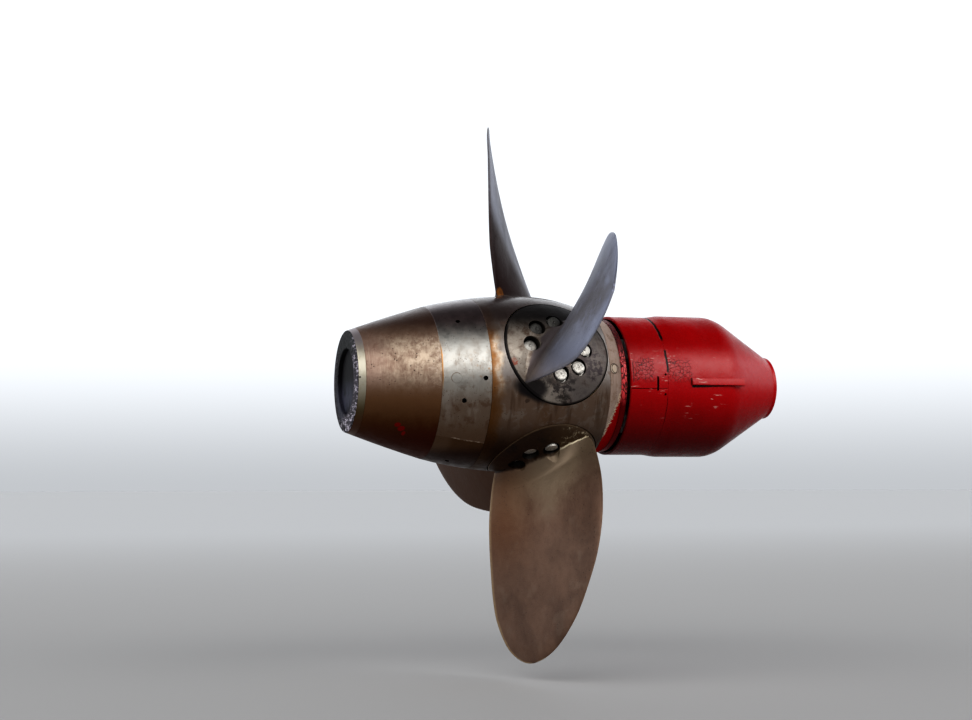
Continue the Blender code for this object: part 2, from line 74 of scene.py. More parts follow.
class Slot(Enum):
    """The record's material slots, one given with each piece."""

    BLADE = "blade_bronze"
    FITTING = "fitting_steel"
    HUB = "hub_bronze"
    BARE = "bare_metal"
    CONE = "cone_bronze"
    RECESS = "recess_plate"
    SCRAPED = "scraped_ring"
    FLANGE = "flange_paint"
    BOSS = "boss_paint"


class Cut(Enum):
    """How two solids are combined."""

    ADD = "UNION"
    TAKE = "DIFFERENCE"
    KEEP = "INTERSECT"


Steps = list[tuple[Piece, Cut]]


class Graph:
    """A node tree, built up from small steps."""

    def __init__(self, tree: bpy.types.NodeTree) -> None:
        """Empties the node tree of a material or of the sky."""
        self.tree = tree
        self.tree.nodes.clear()

    def add(self, kind: str, **settings: object) -> bpy.types.Node:
        """Adds a node.

        Args:
            kind: The node's type.
            settings: Values for the node's own properties.

        Returns:
            The new node.
        """
        node = self.tree.nodes.new(kind)
        for key, value in settings.items():
            setattr(node, key, value)
        return node

    def feed(self, socket: Socket, value: object) -> None:
        """Links a socket to another, or sets it.

        Args:
            socket: The input to fill.
            value: A socket, a number, a vector or a colour.
        """
        if isinstance(value, Socket):
            self.tree.links.new(value, socket)
        elif isinstance(value, tuple) and socket.type == "RGBA":
            socket.default_value = (*value, 1.0)
        else:
            socket.default_value = value

    def position(self) -> Socket:
        """Returns the place on the object, in metres."""
        return self.add("ShaderNodeTexCoord").outputs["Object"]

    def place(self, vector: Value, scale: tuple = (1.0, 1.0, 1.0), turn: float = 0.0,
              shift: tuple = (0.0, 0.0, 0.0)) -> Socket:
        """Scales a vector, turns it round X and shifts it.

        Args:
            vector: The vector to change.
            scale: Its scale on each axis.
            turn: The angle round X, in radians.
            shift: What is added last.

        Returns:
            The changed vector.
        """
        node = self.add("ShaderNodeMapping")
        self.feed(node.inputs["Vector"], vector)
        self.feed(node.inputs["Scale"], scale)
        self.feed(node.inputs["Rotation"], (turn, 0.0, 0.0))
        self.feed(node.inputs["Location"], shift)
        return node.outputs[0]

    def split(self, vector: Value) -> tuple[Socket, ...]:
        """Takes a vector apart.

        Args:
            vector: The vector.

        Returns:
            Its three parts.
        """
        node = self.add("ShaderNodeSeparateXYZ")
        self.feed(node.inputs[0], vector)
        return tuple(node.outputs)

    def sum(self, operation: str, first: Value, second: Value = 0.0) -> Socket:
        """Works out one value.

        Args:
            operation: The name of the Math node's operation.
            first: Its first value.
            second: Its second value.

        Returns:
            The result.
        """
        node = self.add("ShaderNodeMath", operation=operation)
        self.feed(node.inputs[0], first)
        self.feed(node.inputs[1], second)
        return node.outputs[0]

    def plus(self, first: Value, second: Value) -> Socket:
        """Returns the two values added up."""
        return self.sum("ADD", first, second)

    def less(self, first: Value, second: Value) -> Socket:
        """Returns the first value less the second."""
        return self.sum("SUBTRACT", first, second)

    def rest(self, share: Value) -> Socket:
        """Returns what is left of 1."""
        return self.sum("SUBTRACT", 1.0, share)

    def stir(self, value: Value, noise: Value, reach: float) -> Socket:
        """Returns a value shifted to and fro by noise, over the reach given."""
        return self.plus(value, self.times(self.less(noise, 0.5), reach))

    def length(self, first: Value, second: Value) -> Socket:
        """Returns how far a point is from the middle, from its two parts."""
        return self.sum("SQRT", self.plus(self.times(first, first), self.times(second, second)))

    def times(self, *values: Value) -> Socket:
        """Multiplies values.

        Args:
            values: The values.

        Returns:
            Their product.
        """
        result = values[0]
        for value in values[1:]:
            result = self.sum("MULTIPLY", result, value)
        return result

    def most(self, *values: Value) -> Socket:
        """Finds the largest value.

        Args:
            values: The values.

        Returns:
            The largest.
        """
        result = values[0]
        for value in values[1:]:
            result = self.sum("MAXIMUM", result, value)
        return result

    def fade(self, value: Value, low: float, high: float, bottom: float = 0.0,
             top: float = 1.0) -> Socket:
        """Fades smoothly between two values.

        Args:
            value: What is measured.
            low: Where the fade starts.
            high: Where it ends, above or below low.
            bottom: The result before low.
            top: The result past high.

        Returns:
            The faded value.
        """
        node = self.add("ShaderNodeMapRange", interpolation_type="SMOOTHSTEP")
        for socket, number in zip(node.inputs[:5], (value, low, high, bottom, top)):
            self.feed(socket, number)
        return node.outputs[0]

    def noise(self, vector: Value, scale: float, detail: float = 3.0, roughness: float = 0.55,
              distortion: float = 0.0) -> Socket:
        """Cloudy noise from 0 to 1.

        Args:
            vector: The place.
            scale: Blotches a metre, roughly.
            detail: How many finer layers it has.
            roughness: How strong the finer layers are.
            distortion: How much it is swirled.

        Returns:
            The noise.
        """
        node = self.add("ShaderNodeTexNoise")
        for key, value in (("Vector", vector), ("Scale", scale), ("Detail", detail),
                           ("Roughness", roughness), ("Distortion", distortion)):
            self.feed(node.inputs[key], value)
        return node.outputs[0]

    def cells(self, vector: Value, scale: float, edges: bool = False) -> Socket:
        """Distance in a pattern of irregular cells.

        Args:
            vector: The place.
            scale: Cells a metre.
            edges: Whether it is measured from the cells' edges, not their middles.

        Returns:
            The distance, in cells.
        """
        node = self.add("ShaderNodeTexVoronoi", feature="DISTANCE_TO_EDGE" if edges else "F1")
        self.feed(node.inputs["Vector"], vector)
        self.feed(node.inputs["Scale"], scale)
        return node.outputs["Distance"]

    def blend(self, share: Value, under: Tone, over: Tone) -> Socket:
        """Lays one colour over another.

        Args:
            share: How much of the upper colour shows.
            under: The lower colour.
            over: The upper colour.

        Returns:
            The mixed colour.
        """
        node = self.add("ShaderNodeMix", data_type="RGBA", blend_type="MIX")
        self.feed(node.inputs[0], share)
        self.feed(node.inputs[6], under)
        self.feed(node.inputs[7], over)
        return node.outputs[2]

    def curve(self, value: Value, stops: tuple) -> Socket:
        """Reads a value off a line through a few points.

        Args:
            value: What is looked up, from 0 to 1.
            stops: Pairs of a value and its result, both from 0 to 1.

        Returns:
            The result.
        """
        node = self.add("ShaderNodeValToRGB")
        self.feed(node.inputs[0], value)
        marks = node.color_ramp.elements
        marks[0].position, marks[1].position = stops[0][0], stops[-1][0]
        for place, _ in stops[1:-1]:
            marks.new(place)
        for mark, (_, result) in zip(marks, stops):
            mark.color = (result, result, result, 1.0)
        return self.sum("MULTIPLY", node.outputs[0], 1.0)

    def bump(self, height: Value, distance: float, under: Socket | None = None) -> Socket:
        """Raises the surface.

        Args:
            height: The height, from 0 to 1.
            distance: How high 1 stands, in metres.
            under: A normal that is already raised.

        Returns:
            The raised normal.
        """
        node = self.add("ShaderNodeBump")
        self.feed(node.inputs["Height"], height)
        self.feed(node.inputs["Distance"], distance)
        if under is not None:
            self.feed(node.inputs["Normal"], under)
        return node.outputs[0]


class Paint(Graph):
    """The node tree of a material with one shader."""

    def __init__(self, name: str, ground: Colour) -> None:
        """Starts a material with its lowest colour.

        Args:
            name: The material's name.
            ground: The colour that the others are laid on.
        """
        self.material = bpy.data.materials.new(name)
        self.material.use_nodes = True
        super().__init__(self.material.node_tree)
        output = self.add("ShaderNodeOutputMaterial")
        self.shader = self.add("ShaderNodeBsdfPrincipled")
        self.tree.links.new(self.shader.outputs[0], output.inputs[0])
        self.colour: Tone = ground

    def lay(self, share: Value, tone: Tone) -> None:
        """Lays a tone over the colour so far, as much of it as the share says."""
        self.colour = self.blend(share, self.colour, tone)

    def proud(self, x: Value, y: Value, z: Value) -> Socket:
        """How far a point stands out from the middle part of the hub.

        Args:
            x: Its place along the shaft from the spindle plane.
            y: Its place across.
            z: Its height.

        Returns:
            The height above the hub's outside, below 0 inside it.
        """
        hub = HubShape()
        off = self.less(x, hub.crown)
        fore, aft = self.sum("MAXIMUM", off, 0.0), self.sum("MINIMUM", off, 0.0)
        drop = 0.0
        for part, arc in ((fore, hub.fore_arc), (aft, hub.aft_arc)):
            square = self.times(part, part)
            bend = self.plus(self.times(square, 0.25 / arc ** 2), 1.0)
            drop = self.plus(drop, self.times(square, 0.5 / arc, bend))
        radius = self.length(y, z)
        return self.less(self.plus(radius, drop), hub.radius)

    def spot(self, first: Value, second: Value, middle: Point, size: Point) -> Socket:
        """A soft oval spot.

        Args:
            first: One part of the place.
            second: The other part.
            middle: The middle of the spot.
            size: Its half width and half height.

        Returns:
            1 in the spot, 0 outside it.
        """
        one = self.sum("DIVIDE", self.less(first, middle[0]), size[0])
        two = self.sum("DIVIDE", self.less(second, middle[1]), size[1])
        return self.fade(self.plus(self.times(one, one), self.times(two, two)), 1.0, 0.25)

    def shade(self, **values: object) -> Material:
        """Fills the shader's sockets: the colour that was laid, and what is given.

        Args:
            values: A value for each socket, named in lower case with underscores.

        Returns:
            The finished material.
        """
        self.feed(self.shader.inputs["Base Color"], self.colour)
        names = {name.lower().replace(" ", "_"): name for name in self.shader.inputs.keys()}
        for key, value in values.items():
            self.feed(self.shader.inputs[names[key]], value)
        return self.material


@dataclass(frozen=True)
class BossPaint:
    """Glossy red paint on the stern boss and the rope guard."""

    name: str = "boss_paint"
    deep: Colour = (0.30, 0.0012, 0.003)
    fresh: Colour = (0.37, 0.0015, 0.005)
    painted_sheen: Colour = (0.50, 0.075, 0.085)
    crack: Colour = (0.010, 0.002, 0.002)
    scratch: Colour = (0.70, 0.42, 0.38)
    lit: Colour = (0.50, 0.003, 0.008)
    below: Colour = (0.075, 0.0008, 0.0012)
    seam_x: float = -0.875

    def build(self) -> Material:
        """Mixes the paint, with its crazing, scratches and dirty seams, a painted lit band, a
        painted pink sheen and glints, a painted shadow under the bar and painted shade towards the
        bottom.

        Returns:
            The finished material.
        """
        g = Paint(self.name, self.deep)
        p = g.position()
        x, y, z = g.split(p)
        broad = g.noise(p, 2.4, 4.0)
        g.lay(g.fade(broad, 0.34, 0.68), self.fresh)
        g.lay(g.times(g.fade(z, 0.27, 0.12), g.fade(z, -0.22, 0.02, 0.1, 0.8)), self.lit)
        # Painted sheen: a pink reflection in a band along the near side.
        sheen = g.times(g.fade(z, 0.0, 0.06), g.fade(z, 0.19, 0.11), g.fade(y, -0.2, -0.34))
        cloud = g.noise(g.place(p, (1.0, 1.0, 1.6)), 6.1, 5.0, 0.62)
        g.lay(g.times(g.fade(cloud, 0.36, 0.64, 0.0, 0.5), sheen), self.painted_sheen)
        area, crack = self.crazing(g, p, x, z)
        g.lay(g.times(crack, 0.8), self.crack)
        # Painted glints on the crazed paint.
        glint = g.times(g.fade(g.noise(p, 120.0, 3.0, 0.7), 0.56, 0.64), area)
        g.lay(g.times(glint, 0.6), self.painted_sheen)
        dashes = g.noise(g.place(p, (16.0, 95.0, 95.0)), 1.0, 2.0)
        patch = g.times(g.fade(g.noise(p, 8.0, 2.0), 0.50, 0.58), g.fade(z, 0.24, 0.16),
                        g.fade(z, -0.26, -0.18), g.fade(x, -0.40, -0.55))
        speck = g.times(g.fade(dashes, 0.63, 0.68), patch)
        g.lay(g.times(speck, 0.75), self.scratch)
        # The dark lines take the crack colour; the line under the bar is a painted shadow.
        seam = self.seams(g, p, x, y, z)
        g.lay(seam, self.crack)
        # Painted shade: the paint darkens towards the bottom.
        under = g.fade(z, -0.10, -0.42)
        g.lay(g.times(under, 0.85), self.below)
        rough = g.fade(g.noise(p, 14.0, 4.0), 0.3, 0.75, 0.20, 0.34)
        normal = g.bump(g.noise(p, 130.0, 2.0), 0.0007)
        normal = g.bump(g.noise(p, 7.0, 3.0), 0.005, normal)
        normal = g.bump(g.rest(g.most(crack, seam)), 0.002, normal)
        normal = g.bump(g.times(g.noise(p, 75.0, 3.0, 0.65), area), 0.004, normal)
        gloss = g.times(g.fade(z, -0.10, 0.06, 0.2, 1.0), g.fade(z, 0.24, 0.12, 0.3, 1.0), 0.55)
        return g.shade(roughness=rough, normal=normal, specular_ior_level=gloss)

    def crazing(self, g: Paint, p: Value, x: Value, z: Value) -> tuple[Socket, Socket]:
        """Where the thick paint has crazed.

        Args:
            g: The material's graph.
            p: The place.
            x: Its part along the shaft.
            z: Its height.

        Returns:
            1 in the crazed patches, and 1 in their cracks.
        """
        guard = g.times(g.fade(x, -0.955, -0.985), g.fade(x, -1.115, -1.090))
        boss = g.times(g.fade(x, -0.70, -0.74), g.fade(x, -0.88, -0.87), 0.8)
        area = g.times(g.most(guard, boss), g.fade(z, -0.005, 0.02), g.fade(z, 0.17, 0.13),
                       g.fade(g.noise(p, 11.0, 2.0), 0.30, 0.44))
        wave = g.times(g.noise(p, 60.0, 2.0), 0.16)
        crazed = g.plus(g.cells(p, 40.0, edges=True), wave)
        return area, g.times(g.fade(crazed, 0.135, 0.10), area)

    def seams(self, g: Paint, p: Value, x: Value, y: Value, z: Value) -> Socket:
        """Dark lines: dirt in the seam behind the guard and in its lip, a painted shadow under the
        bar, and darkening at the bar's end and in the groove where the guard's halves meet.

        Args:
            g: The material's graph.
            p: The place.
            x: Its part along the shaft.
            y: Its part across.
            z: Its height.

        Returns:
            1 where the lines are darkest.
        """
        wavy = g.stir(x, g.noise(p, 16.0, 2.0), 0.012)
        off = g.sum("ABSOLUTE", g.less(wavy, self.seam_x))
        upper = g.times(g.fade(off, 0.011, 0.006), g.fade(z, 0.255, 0.285))
        middle = g.times(g.fade(off, 0.009, 0.005), g.fade(z, 0.055, 0.075), g.fade(z, 0.21, 0.20))
        lower = g.times(g.fade(off, 0.004, 0.001), g.fade(z, -0.08, -0.10),
                        g.fade(z, -0.28, -0.22), 0.5)
        lip = g.times(g.fade(g.sum("ABSOLUTE", g.plus(x, 1.107)), 0.003, 0.001),
                      g.fade(z, -0.01, 0.01), g.fade(z, 0.14, 0.11), 0.8)
        # Painted shadow under the side bar.
        depth = g.fade(x, -0.72, -0.42, -0.030, -0.018)
        under = g.times(g.fade(z, depth, g.plus(depth, 0.004)), g.fade(z, -0.011, -0.015),
                        g.fade(x, -0.724, -0.716), g.fade(x, -0.36, -0.40), g.fade(y, -0.3, -0.4))
        end = g.times(g.fade(x, -0.729, -0.726), g.fade(x, -0.719, -0.722), g.fade(z, -0.02, -0.01),
                      g.fade(z, 0.034, 0.030), g.fade(y, -0.3, -0.4), 0.8)
        radius = g.length(y, z)
        sunk = g.times(g.fade(radius, 0.4394, 0.4376), g.fade(x, -1.118, -1.116),
                       g.fade(x, -0.879, -0.881))
        return g.most(upper, middle, lower, lip, under, end, sunk)


@dataclass(frozen=True)
class FlangePaint:
    """Old red paint that has cracked and flaked off the shaft flange."""

    name: str = "flange_paint"
    flake: Colour = (0.82, 0.095, 0.105)
    bare: Colour = (0.045, 0.010, 0.010)
    low: Colour = (0.16, 0.002, 0.004)
    top: Colour = (0.030, 0.008, 0.010)

    def build(self) -> Material:
        """Mixes the cracked paint, smoother towards the bottom.

        Returns:
            The finished material.
        """
        g = Paint(self.name, self.flake)
        p = g.position()
        z = g.split(p)[2]
        wave = g.times(g.noise(p, 40.0, 3.0), 0.22)
        crazed = g.plus(g.cells(g.place(p, (1.0, 0.6, 0.6)), 48.0, edges=True), wave)
        whole = g.fade(z, -0.12, -0.26)
        open_crack = g.times(g.fade(crazed, 0.19, 0.12), g.rest(whole))
        patch = g.times(g.fade(g.noise(p, 17.0, 4.0), 0.60, 0.68), g.rest(whole), 0.8)
        gone = g.most(open_crack, patch)
        g.lay(gone, self.bare)
        g.lay(g.fade(z, -0.04, -0.16), self.low)
        # Painted shade: the flange darkens towards its top.
        g.lay(g.times(g.fade(z, 0.10, 0.26), 0.85), self.top)
        rough = g.fade(gone, 0.0, 1.0, 0.3, 0.7)
        normal = g.bump(g.rest(gone), 0.003)
        normal = g.bump(g.noise(p, 90.0, 3.0), 0.002, normal)
        return g.shade(roughness=rough, normal=normal,
                       specular_ior_level=g.fade(z, -0.12, 0.0, 0.08, 0.5))


@dataclass(frozen=True)
class ScrapedRing:
    """The hub's front ring, scraped clean, with paint sprayed over its lower part."""

    name: str = "scraped_ring"
    metal: Colour = (0.43, 0.335, 0.285)
    stain: Colour = (0.22, 0.135, 0.085)
    spray: Colour = (0.30, 0.003, 0.006)
    hollow: Colour = (0.05, 0.035, 0.025)
    chipped: Colour = (0.74, 0.66, 0.48)
    plug_joint: Colour = (0.05, 0.030, 0.016)
    plug_face: Colour = (0.60, 0.50, 0.40)

    def build(self) -> Material:
        """Mixes the scraped metal with its pits and the edge of the paint.

        Returns:
            The finished material.
        """
        g = Paint(self.name, self.metal)
        p = g.position()
        x, y, z = g.split(p)
        scrape = g.noise(g.place(p, (60.0, 7.0, 7.0)), 1.0, 4.0, 0.6)
        mottle = g.noise(p, 22.0, 4.0, 0.6)
        g.lay(g.fade(mottle, 0.48, 0.72, 0.0, 0.75), self.stain)
        g.lay(g.fade(scrape, 0.35, 0.7, 0.35, 0.0), self.stain)
        pit = g.fade(g.cells(p, 75.0), 0.24, 0.12)
        pit = g.times(pit, g.fade(g.noise(p, 30.0, 2.0), 0.5, 0.6))
        g.lay(g.times(pit, 0.75), self.hollow)
        border = g.plus(g.times(z, 0.337), g.times(x, -1.0))
        ragged = g.plus(border, g.times(g.noise(p, 26.0, 4.0, 0.65), 0.035))
        painted = g.times(g.fade(ragged, 1.177, 1.170), g.fade(z, 0.0, -0.06))
        g.lay(painted, self.spray)
        rim = g.times(g.fade(ragged, 1.158, 1.170), g.fade(ragged, 1.196, 1.182),
                      g.fade(z, 0.0, -0.06), g.fade(g.noise(p, 95.0, 3.0, 0.7), 0.5, 0.58))
        g.lay(g.times(rim, 0.8), self.chipped)
        ring = g.times(g.spot(x, z, (-1.238, 0.0807), (0.032, 0.036)), g.fade(y, 0.0, -0.1))
        g.lay(g.times(g.fade(ring, 0.0, 0.15), 0.85), self.plug_joint)
        g.lay(g.times(g.fade(ring, 0.35, 0.75), 0.85), self.plug_face)
        bare = g.rest(painted)
        rough = g.fade(scrape, 0.3, 0.7, 0.40, 0.55)
        normal = g.bump(scrape, 0.0012)
        normal = g.bump(g.rest(pit), 0.0015, normal)
        return g.shade(metallic=g.times(bare, 0.35), roughness=rough, normal=normal,
                       specular_ior_level=g.times(bare, 0.5))


@dataclass(frozen=True)
class HubPatina:
    """The hub body: grey metal under brown patches, with a rust stained band at its aft edge."""

    name: str = "hub_patina"
    grey: Colour = (0.36, 0.33, 0.31)
    brown: Colour = (0.17, 0.105, 0.065)
    rust: Colour = (0.47, 0.235, 0.085)
    deep_rust: Colour = (0.25, 0.105, 0.025)
    low: Colour = (0.150, 0.088, 0.052)
    near_black: Colour = (0.034, 0.015, 0.006)
    top: Colour = (0.060, 0.032, 0.030)
    belt: Colour = (0.27, 0.235, 0.205)
    drip: Colour = (0.075, 0.040, 0.022)
    wedge: Colour = (0.012, 0.010, 0.012)
    hole: Colour = (0.03, 0.018, 0.012)
    port: Colour = (0.010, 0.0035, 0.001)
    pale_rust_and_highlight: Colour = (0.66, 0.57, 0.47)
    rust_shaded_low: Colour = (0.135, 0.060, 0.016)
    rust_shaded_black: Colour = (0.045, 0.019, 0.005)
    rust_shaded_top: Colour = (0.075, 0.034, 0.018)

    def build(self) -> Material:
        """Mixes the patina, from grey at the sides to near black below, which is patina and painted
        shade; painted shade also darkens the top, the ports and a wedge under a blade.

        Returns:
            The finished material.
        """
        g = Paint(self.name, self.grey)
        p = g.position()
        x, y, z = g.split(p)
        streak = g.noise(g.place(p, (10.0, 2.4, 2.4)), 1.0, 5.0, 0.62)
        mottle = g.noise(p, 13.0, 5.0, 0.62, 0.4)
        g.lay(g.fade(streak, 0.46, 0.68, 0.0, 0.8), self.brown)
        g.lay(g.fade(mottle, 0.52, 0.70, 0.0, 0.55), self.brown)
        # Painted shade: darker on top.
        g.lay(g.times(g.fade(z, 0.27, 0.40), 0.85), self.top)
        # Darker towards the bottom: patina and painted shade.
        height = g.stir(z, streak, 0.10)
        g.lay(g.fade(height, 0.06, -0.10, 0.0, 0.85), self.low)
        g.lay(g.fade(height, -0.20, -0.44, 0.0, 0.95), self.near_black)
        belt = g.times(g.fade(height, 0.02, -0.10), g.fade(z, -0.36, -0.20))
        g.lay(g.times(g.fade(mottle, 0.50, 0.64, 0.0, 0.5), belt), self.belt)
        drip = g.noise(g.place(p, (26.0, 3.0, 3.0)), 1.0, 3.0, 0.6)
        g.lay(g.times(g.fade(drip, 0.54, 0.66, 0.0, 0.5), belt), self.drip)
        stained, tone = self.rust_band(g, p, x, z)
        g.lay(stained, tone)
        near = g.fade(y, 0.0, -0.1)
        drift = g.stir(z, mottle, 0.05)
        # Painted shadow: a dark wedge on the hub under the near blade's trailing corner.
        wedge = g.times(g.spot(x, g.plus(drift, g.times(x, 0.30)), (-1.795, -0.605),
                               (0.150, 0.080)), near)
        g.lay(g.times(wedge, 0.97), self.wedge)
        hole = g.times(g.spot(g.plus(x, g.times(streak, 0.03)), drift, (-1.820, -0.1346),
                              (0.018, 0.015)), near)
        g.lay(g.times(hole, 0.6), self.hole)
        pit = g.times(g.fade(g.cells(p, 46.0), 0.16, 0.08), g.fade(mottle, 0.5, 0.6))
        g.lay(g.times(pit, 0.8), self.near_black)
        # Painted shade on the walls inside the ports round the feet.
        inside = g.fade(g.proud(g.less(x, SPINDLE_X), y, z), -0.004, -0.012)
        g.lay(g.times(inside, 0.9), self.port)
        rough = g.fade(mottle, 0.3, 0.75, 0.30, 0.52)
        normal = g.bump(g.noise(p, 60.0, 4.0, 0.6), 0.0010)
        normal = g.bump(g.noise(g.place(p, (2.0, 1.0, 1.0)), 8.0, 2.0), 0.003, normal)
        normal = g.bump(g.rest(pit), 0.002, normal)
        return g.shade(metallic=0.7, roughness=rough, normal=normal,
                       specular_ior_level=g.fade(z, -0.30, -0.05, 0.1, 0.5),
                       coat_weight=g.fade(z, 0.34, 0.48), coat_roughness=0.2)

    def rust_band(self, g: Paint, p: Value, x: Value, z: Value) -> tuple[Socket, Socket]:
        """The rust stain along the body's aft edge.

        Args:
            g: The material's graph.
            p: The place.
            x: Its part along the shaft.
            z: Its height.

        Returns:
            How much of the stain shows, and its colour.
        """
        cloud = g.noise(p, 9.0, 4.0)
        fine = g.noise(p, 34.0, 5.0, 0.68)
        edge = g.stir(x, cloud, 0.11)
        share = g.fade(edge, -1.968, -2.006)
        share = g.times(share, g.fade(fine, 0.28, 0.5, 0.72, 1.0), g.fade(z, 0.42, 0.26, 0.35, 1.0))
        # Pale rust towards the fore edge, which also serves as a painted highlight across the
        # middle.
        pale = g.times(g.fade(fine, 0.36, 0.60, 0.45, 1.0), g.fade(edge, -2.050, -2.005))
        tone = g.blend(pale, self.rust, self.pale_rust_and_highlight)
        tone = g.blend(g.times(g.fade(edge, -2.005, -2.045), 0.55), tone, self.deep_rust)
        # Painted shade on the rust: darker below, near black at the bottom and dark on top.
        tone = g.blend(g.fade(z, 0.04, -0.14, 0.0, 0.95), tone, self.rust_shaded_low)
        tone = g.blend(g.fade(z, -0.20, -0.42, 0.0, 0.9), tone, self.rust_shaded_black)
        tone = g.blend(g.fade(z, 0.20, 0.34, 0.0, 0.9), tone, self.rust_shaded_top)
        return g.times(share, 0.92), tone


@dataclass(frozen=True)
class BandMetal:
    """The servo cylinder's bare, lightly speckled metal, brown where it was not cleaned."""

    name: str = "band_metal"
    bright: Colour = (0.455, 0.450, 0.430)
    dull: Colour = (0.36, 0.33, 0.30)
    smear: Colour = (0.34, 0.20, 0.10)
    low: Colour = (0.200, 0.140, 0.100)
    uncleaned: Colour = (0.095, 0.048, 0.022)
    waist: Colour = (0.36, 0.32, 0.275)
    lower: Colour = (0.14, 0.078, 0.042)
    smudge: Colour = (0.125, 0.062, 0.032)
    sheen: Colour = (0.40, 0.36, 0.32)
    top: Colour = (0.165, 0.118, 0.122)
    speck: Colour = (0.06, 0.035, 0.02)
    scrape: Colour = (0.16, 0.10, 0.06)
    plug_ring: Colour = (0.14, 0.09, 0.05)
    bottom: Colour = (0.030, 0.008, 0.002)
    line: Colour = (0.50, 0.40, 0.32)
    rust_rim: Colour = (0.46, 0.22, 0.06)
    hole: Colour = (0.008, 0.005, 0.004)

    def build(self) -> Material:
        """Mixes the bare metal with its smears, fine turning marks and uncleaned underside, and
        painted shade below its middle, on top and in its holes.

        Returns:
            The finished material.
        """
        g = Paint(self.name, self.bright)
        p = g.position()
        x, y, z = g.split(p)
        turned = g.noise(g.place(p, (150.0, 1.6, 1.6)), 1.0, 3.0, 0.6)
        mottle = g.noise(g.place(p, (1.3, 1.0, 1.0)), 15.0, 5.0, 0.62)
        patch = g.noise(p, 5.5, 3.0)
        g.lay(g.fade(mottle, 0.46, 0.70, 0.0, 0.7), self.dull)
        g.lay(g.fade(patch, 0.5, 0.72, 0.0, 0.4), self.dull)
        near = g.fade(x, -2.24, -2.06, 0.1, 1.0)
        smear = g.times(g.fade(g.noise(p, 24.0, 4.0, 0.65), 0.54, 0.66), near,
                        g.fade(z, -0.2, 0.0), g.fade(z, 0.2, 0.1))
        g.lay(g.times(smear, 0.7), self.smear)
        # Painted shade: the metal turns darker and browner towards the bottom.
        height = g.stir(z, mottle, 0.09)
        g.lay(g.fade(height, 0.04, -0.08, 0.0, 0.60), self.waist)
        g.lay(g.fade(height, -0.04, -0.17, 0.0, 0.92), self.low)
        g.lay(g.fade(height, -0.22, -0.34, 0.0, 0.6), self.lower)
        smudge = g.times(g.fade(g.noise(p, 17.0, 5.0, 0.66), 0.50, 0.64), g.fade(z, 0.0, -0.08),
                         g.fade(z, -0.34, -0.26))
        g.lay(g.times(smudge, 0.55), self.smudge)
        sheen = g.times(g.fade(g.noise(g.place(p, (8.0, 2.0, 2.0)), 2.2, 3.0), 0.50, 0.64),
                        g.fade(z, 0.02, -0.06), g.fade(z, -0.30, -0.16))
        g.lay(g.times(sheen, 0.45), self.sheen)
        # Painted shade: darker on top.
        g.lay(g.fade(z, 0.23, 0.38, 0.0, 0.95), self.top)
        speck = g.times(g.fade(g.cells(p, 70.0), 0.22, 0.10),
                        g.fade(g.noise(p, 20.0, 2.0), 0.49, 0.57))
        g.lay(g.times(speck, 0.8), self.speck)
        scrape = g.noise(g.place(p, (70.0, 9.0, 9.0)), 1.0, 4.0, 0.65)
        g.lay(g.times(g.fade(scrape, 0.58, 0.68), g.fade(z, 0.25, 0.15), 0.35), self.scrape)
        ring = g.times(g.spot(x, z, (-2.258, 0.0048), (0.0345, 0.0345)), g.fade(y, 0.0, -0.1))
        ring = g.times(g.fade(ring, 0.0, 0.12), g.fade(ring, 0.5, 0.2))
        ring = g.times(ring, g.fade(g.less(x, z), -2.25, -2.275, 0.25, 1.0))
        g.lay(g.times(ring, 0.7), self.plug_ring)
        border = g.plus(z, g.times(g.plus(x, 2.239), 0.16))
        border = g.stir(border, g.noise(p, 30.0, 2.0), 0.008)
        ragged = g.fade(g.noise(p, 40.0, 3.0), 0.42, 0.55, 0.2, 1.0)
        line = g.times(g.fade(border, -0.3520, -0.3490), g.fade(border, -0.3430, -0.3460),
                       g.fade(x, -2.26, -2.23), g.fade(y, 0.1, -0.1), ragged)
        dirty = g.times(g.fade(border, -0.345, -0.350), g.fade(x, -2.28, -2.22, 0.45, 1.0))
        g.lay(g.times(dirty, 0.9), self.uncleaned)
        # Near black at the very bottom: patina and painted shade.
        g.lay(g.fade(z, -0.38, -0.45), self.bottom)
        g.lay(g.times(line, 0.8), self.line)
        rim = g.times(g.fade(g.plus(x, g.times(mottle, 0.012)), -2.325, -2.331),
                      g.fade(z, -0.10, 0.02), g.fade(z, 0.24, 0.15))
        g.lay(g.times(rim, 0.85), self.rust_rim)
        # Painted shade inside the holes and plug pockets.
        hole = g.fade(g.proud(g.less(x, SPINDLE_X), y, z), -0.003, -0.006)
        g.lay(hole, self.hole)
        rough = g.fade(mottle, 0.3, 0.7, 0.28, 0.42)
        normal = g.bump(turned, 0.0003)
        normal = g.bump(g.noise(p, 48.0, 3.0), 0.0006, normal)
        metal = g.fade(hole, 0.0, 1.0, 0.88, 0.0)
        return g.shade(metallic=metal, roughness=rough, normal=normal,
                       specular_ior_level=g.fade(z, -0.36, -0.20, 0.1, 0.5),
                       coat_weight=g.fade(z, 0.32, 0.46), coat_roughness=0.2)


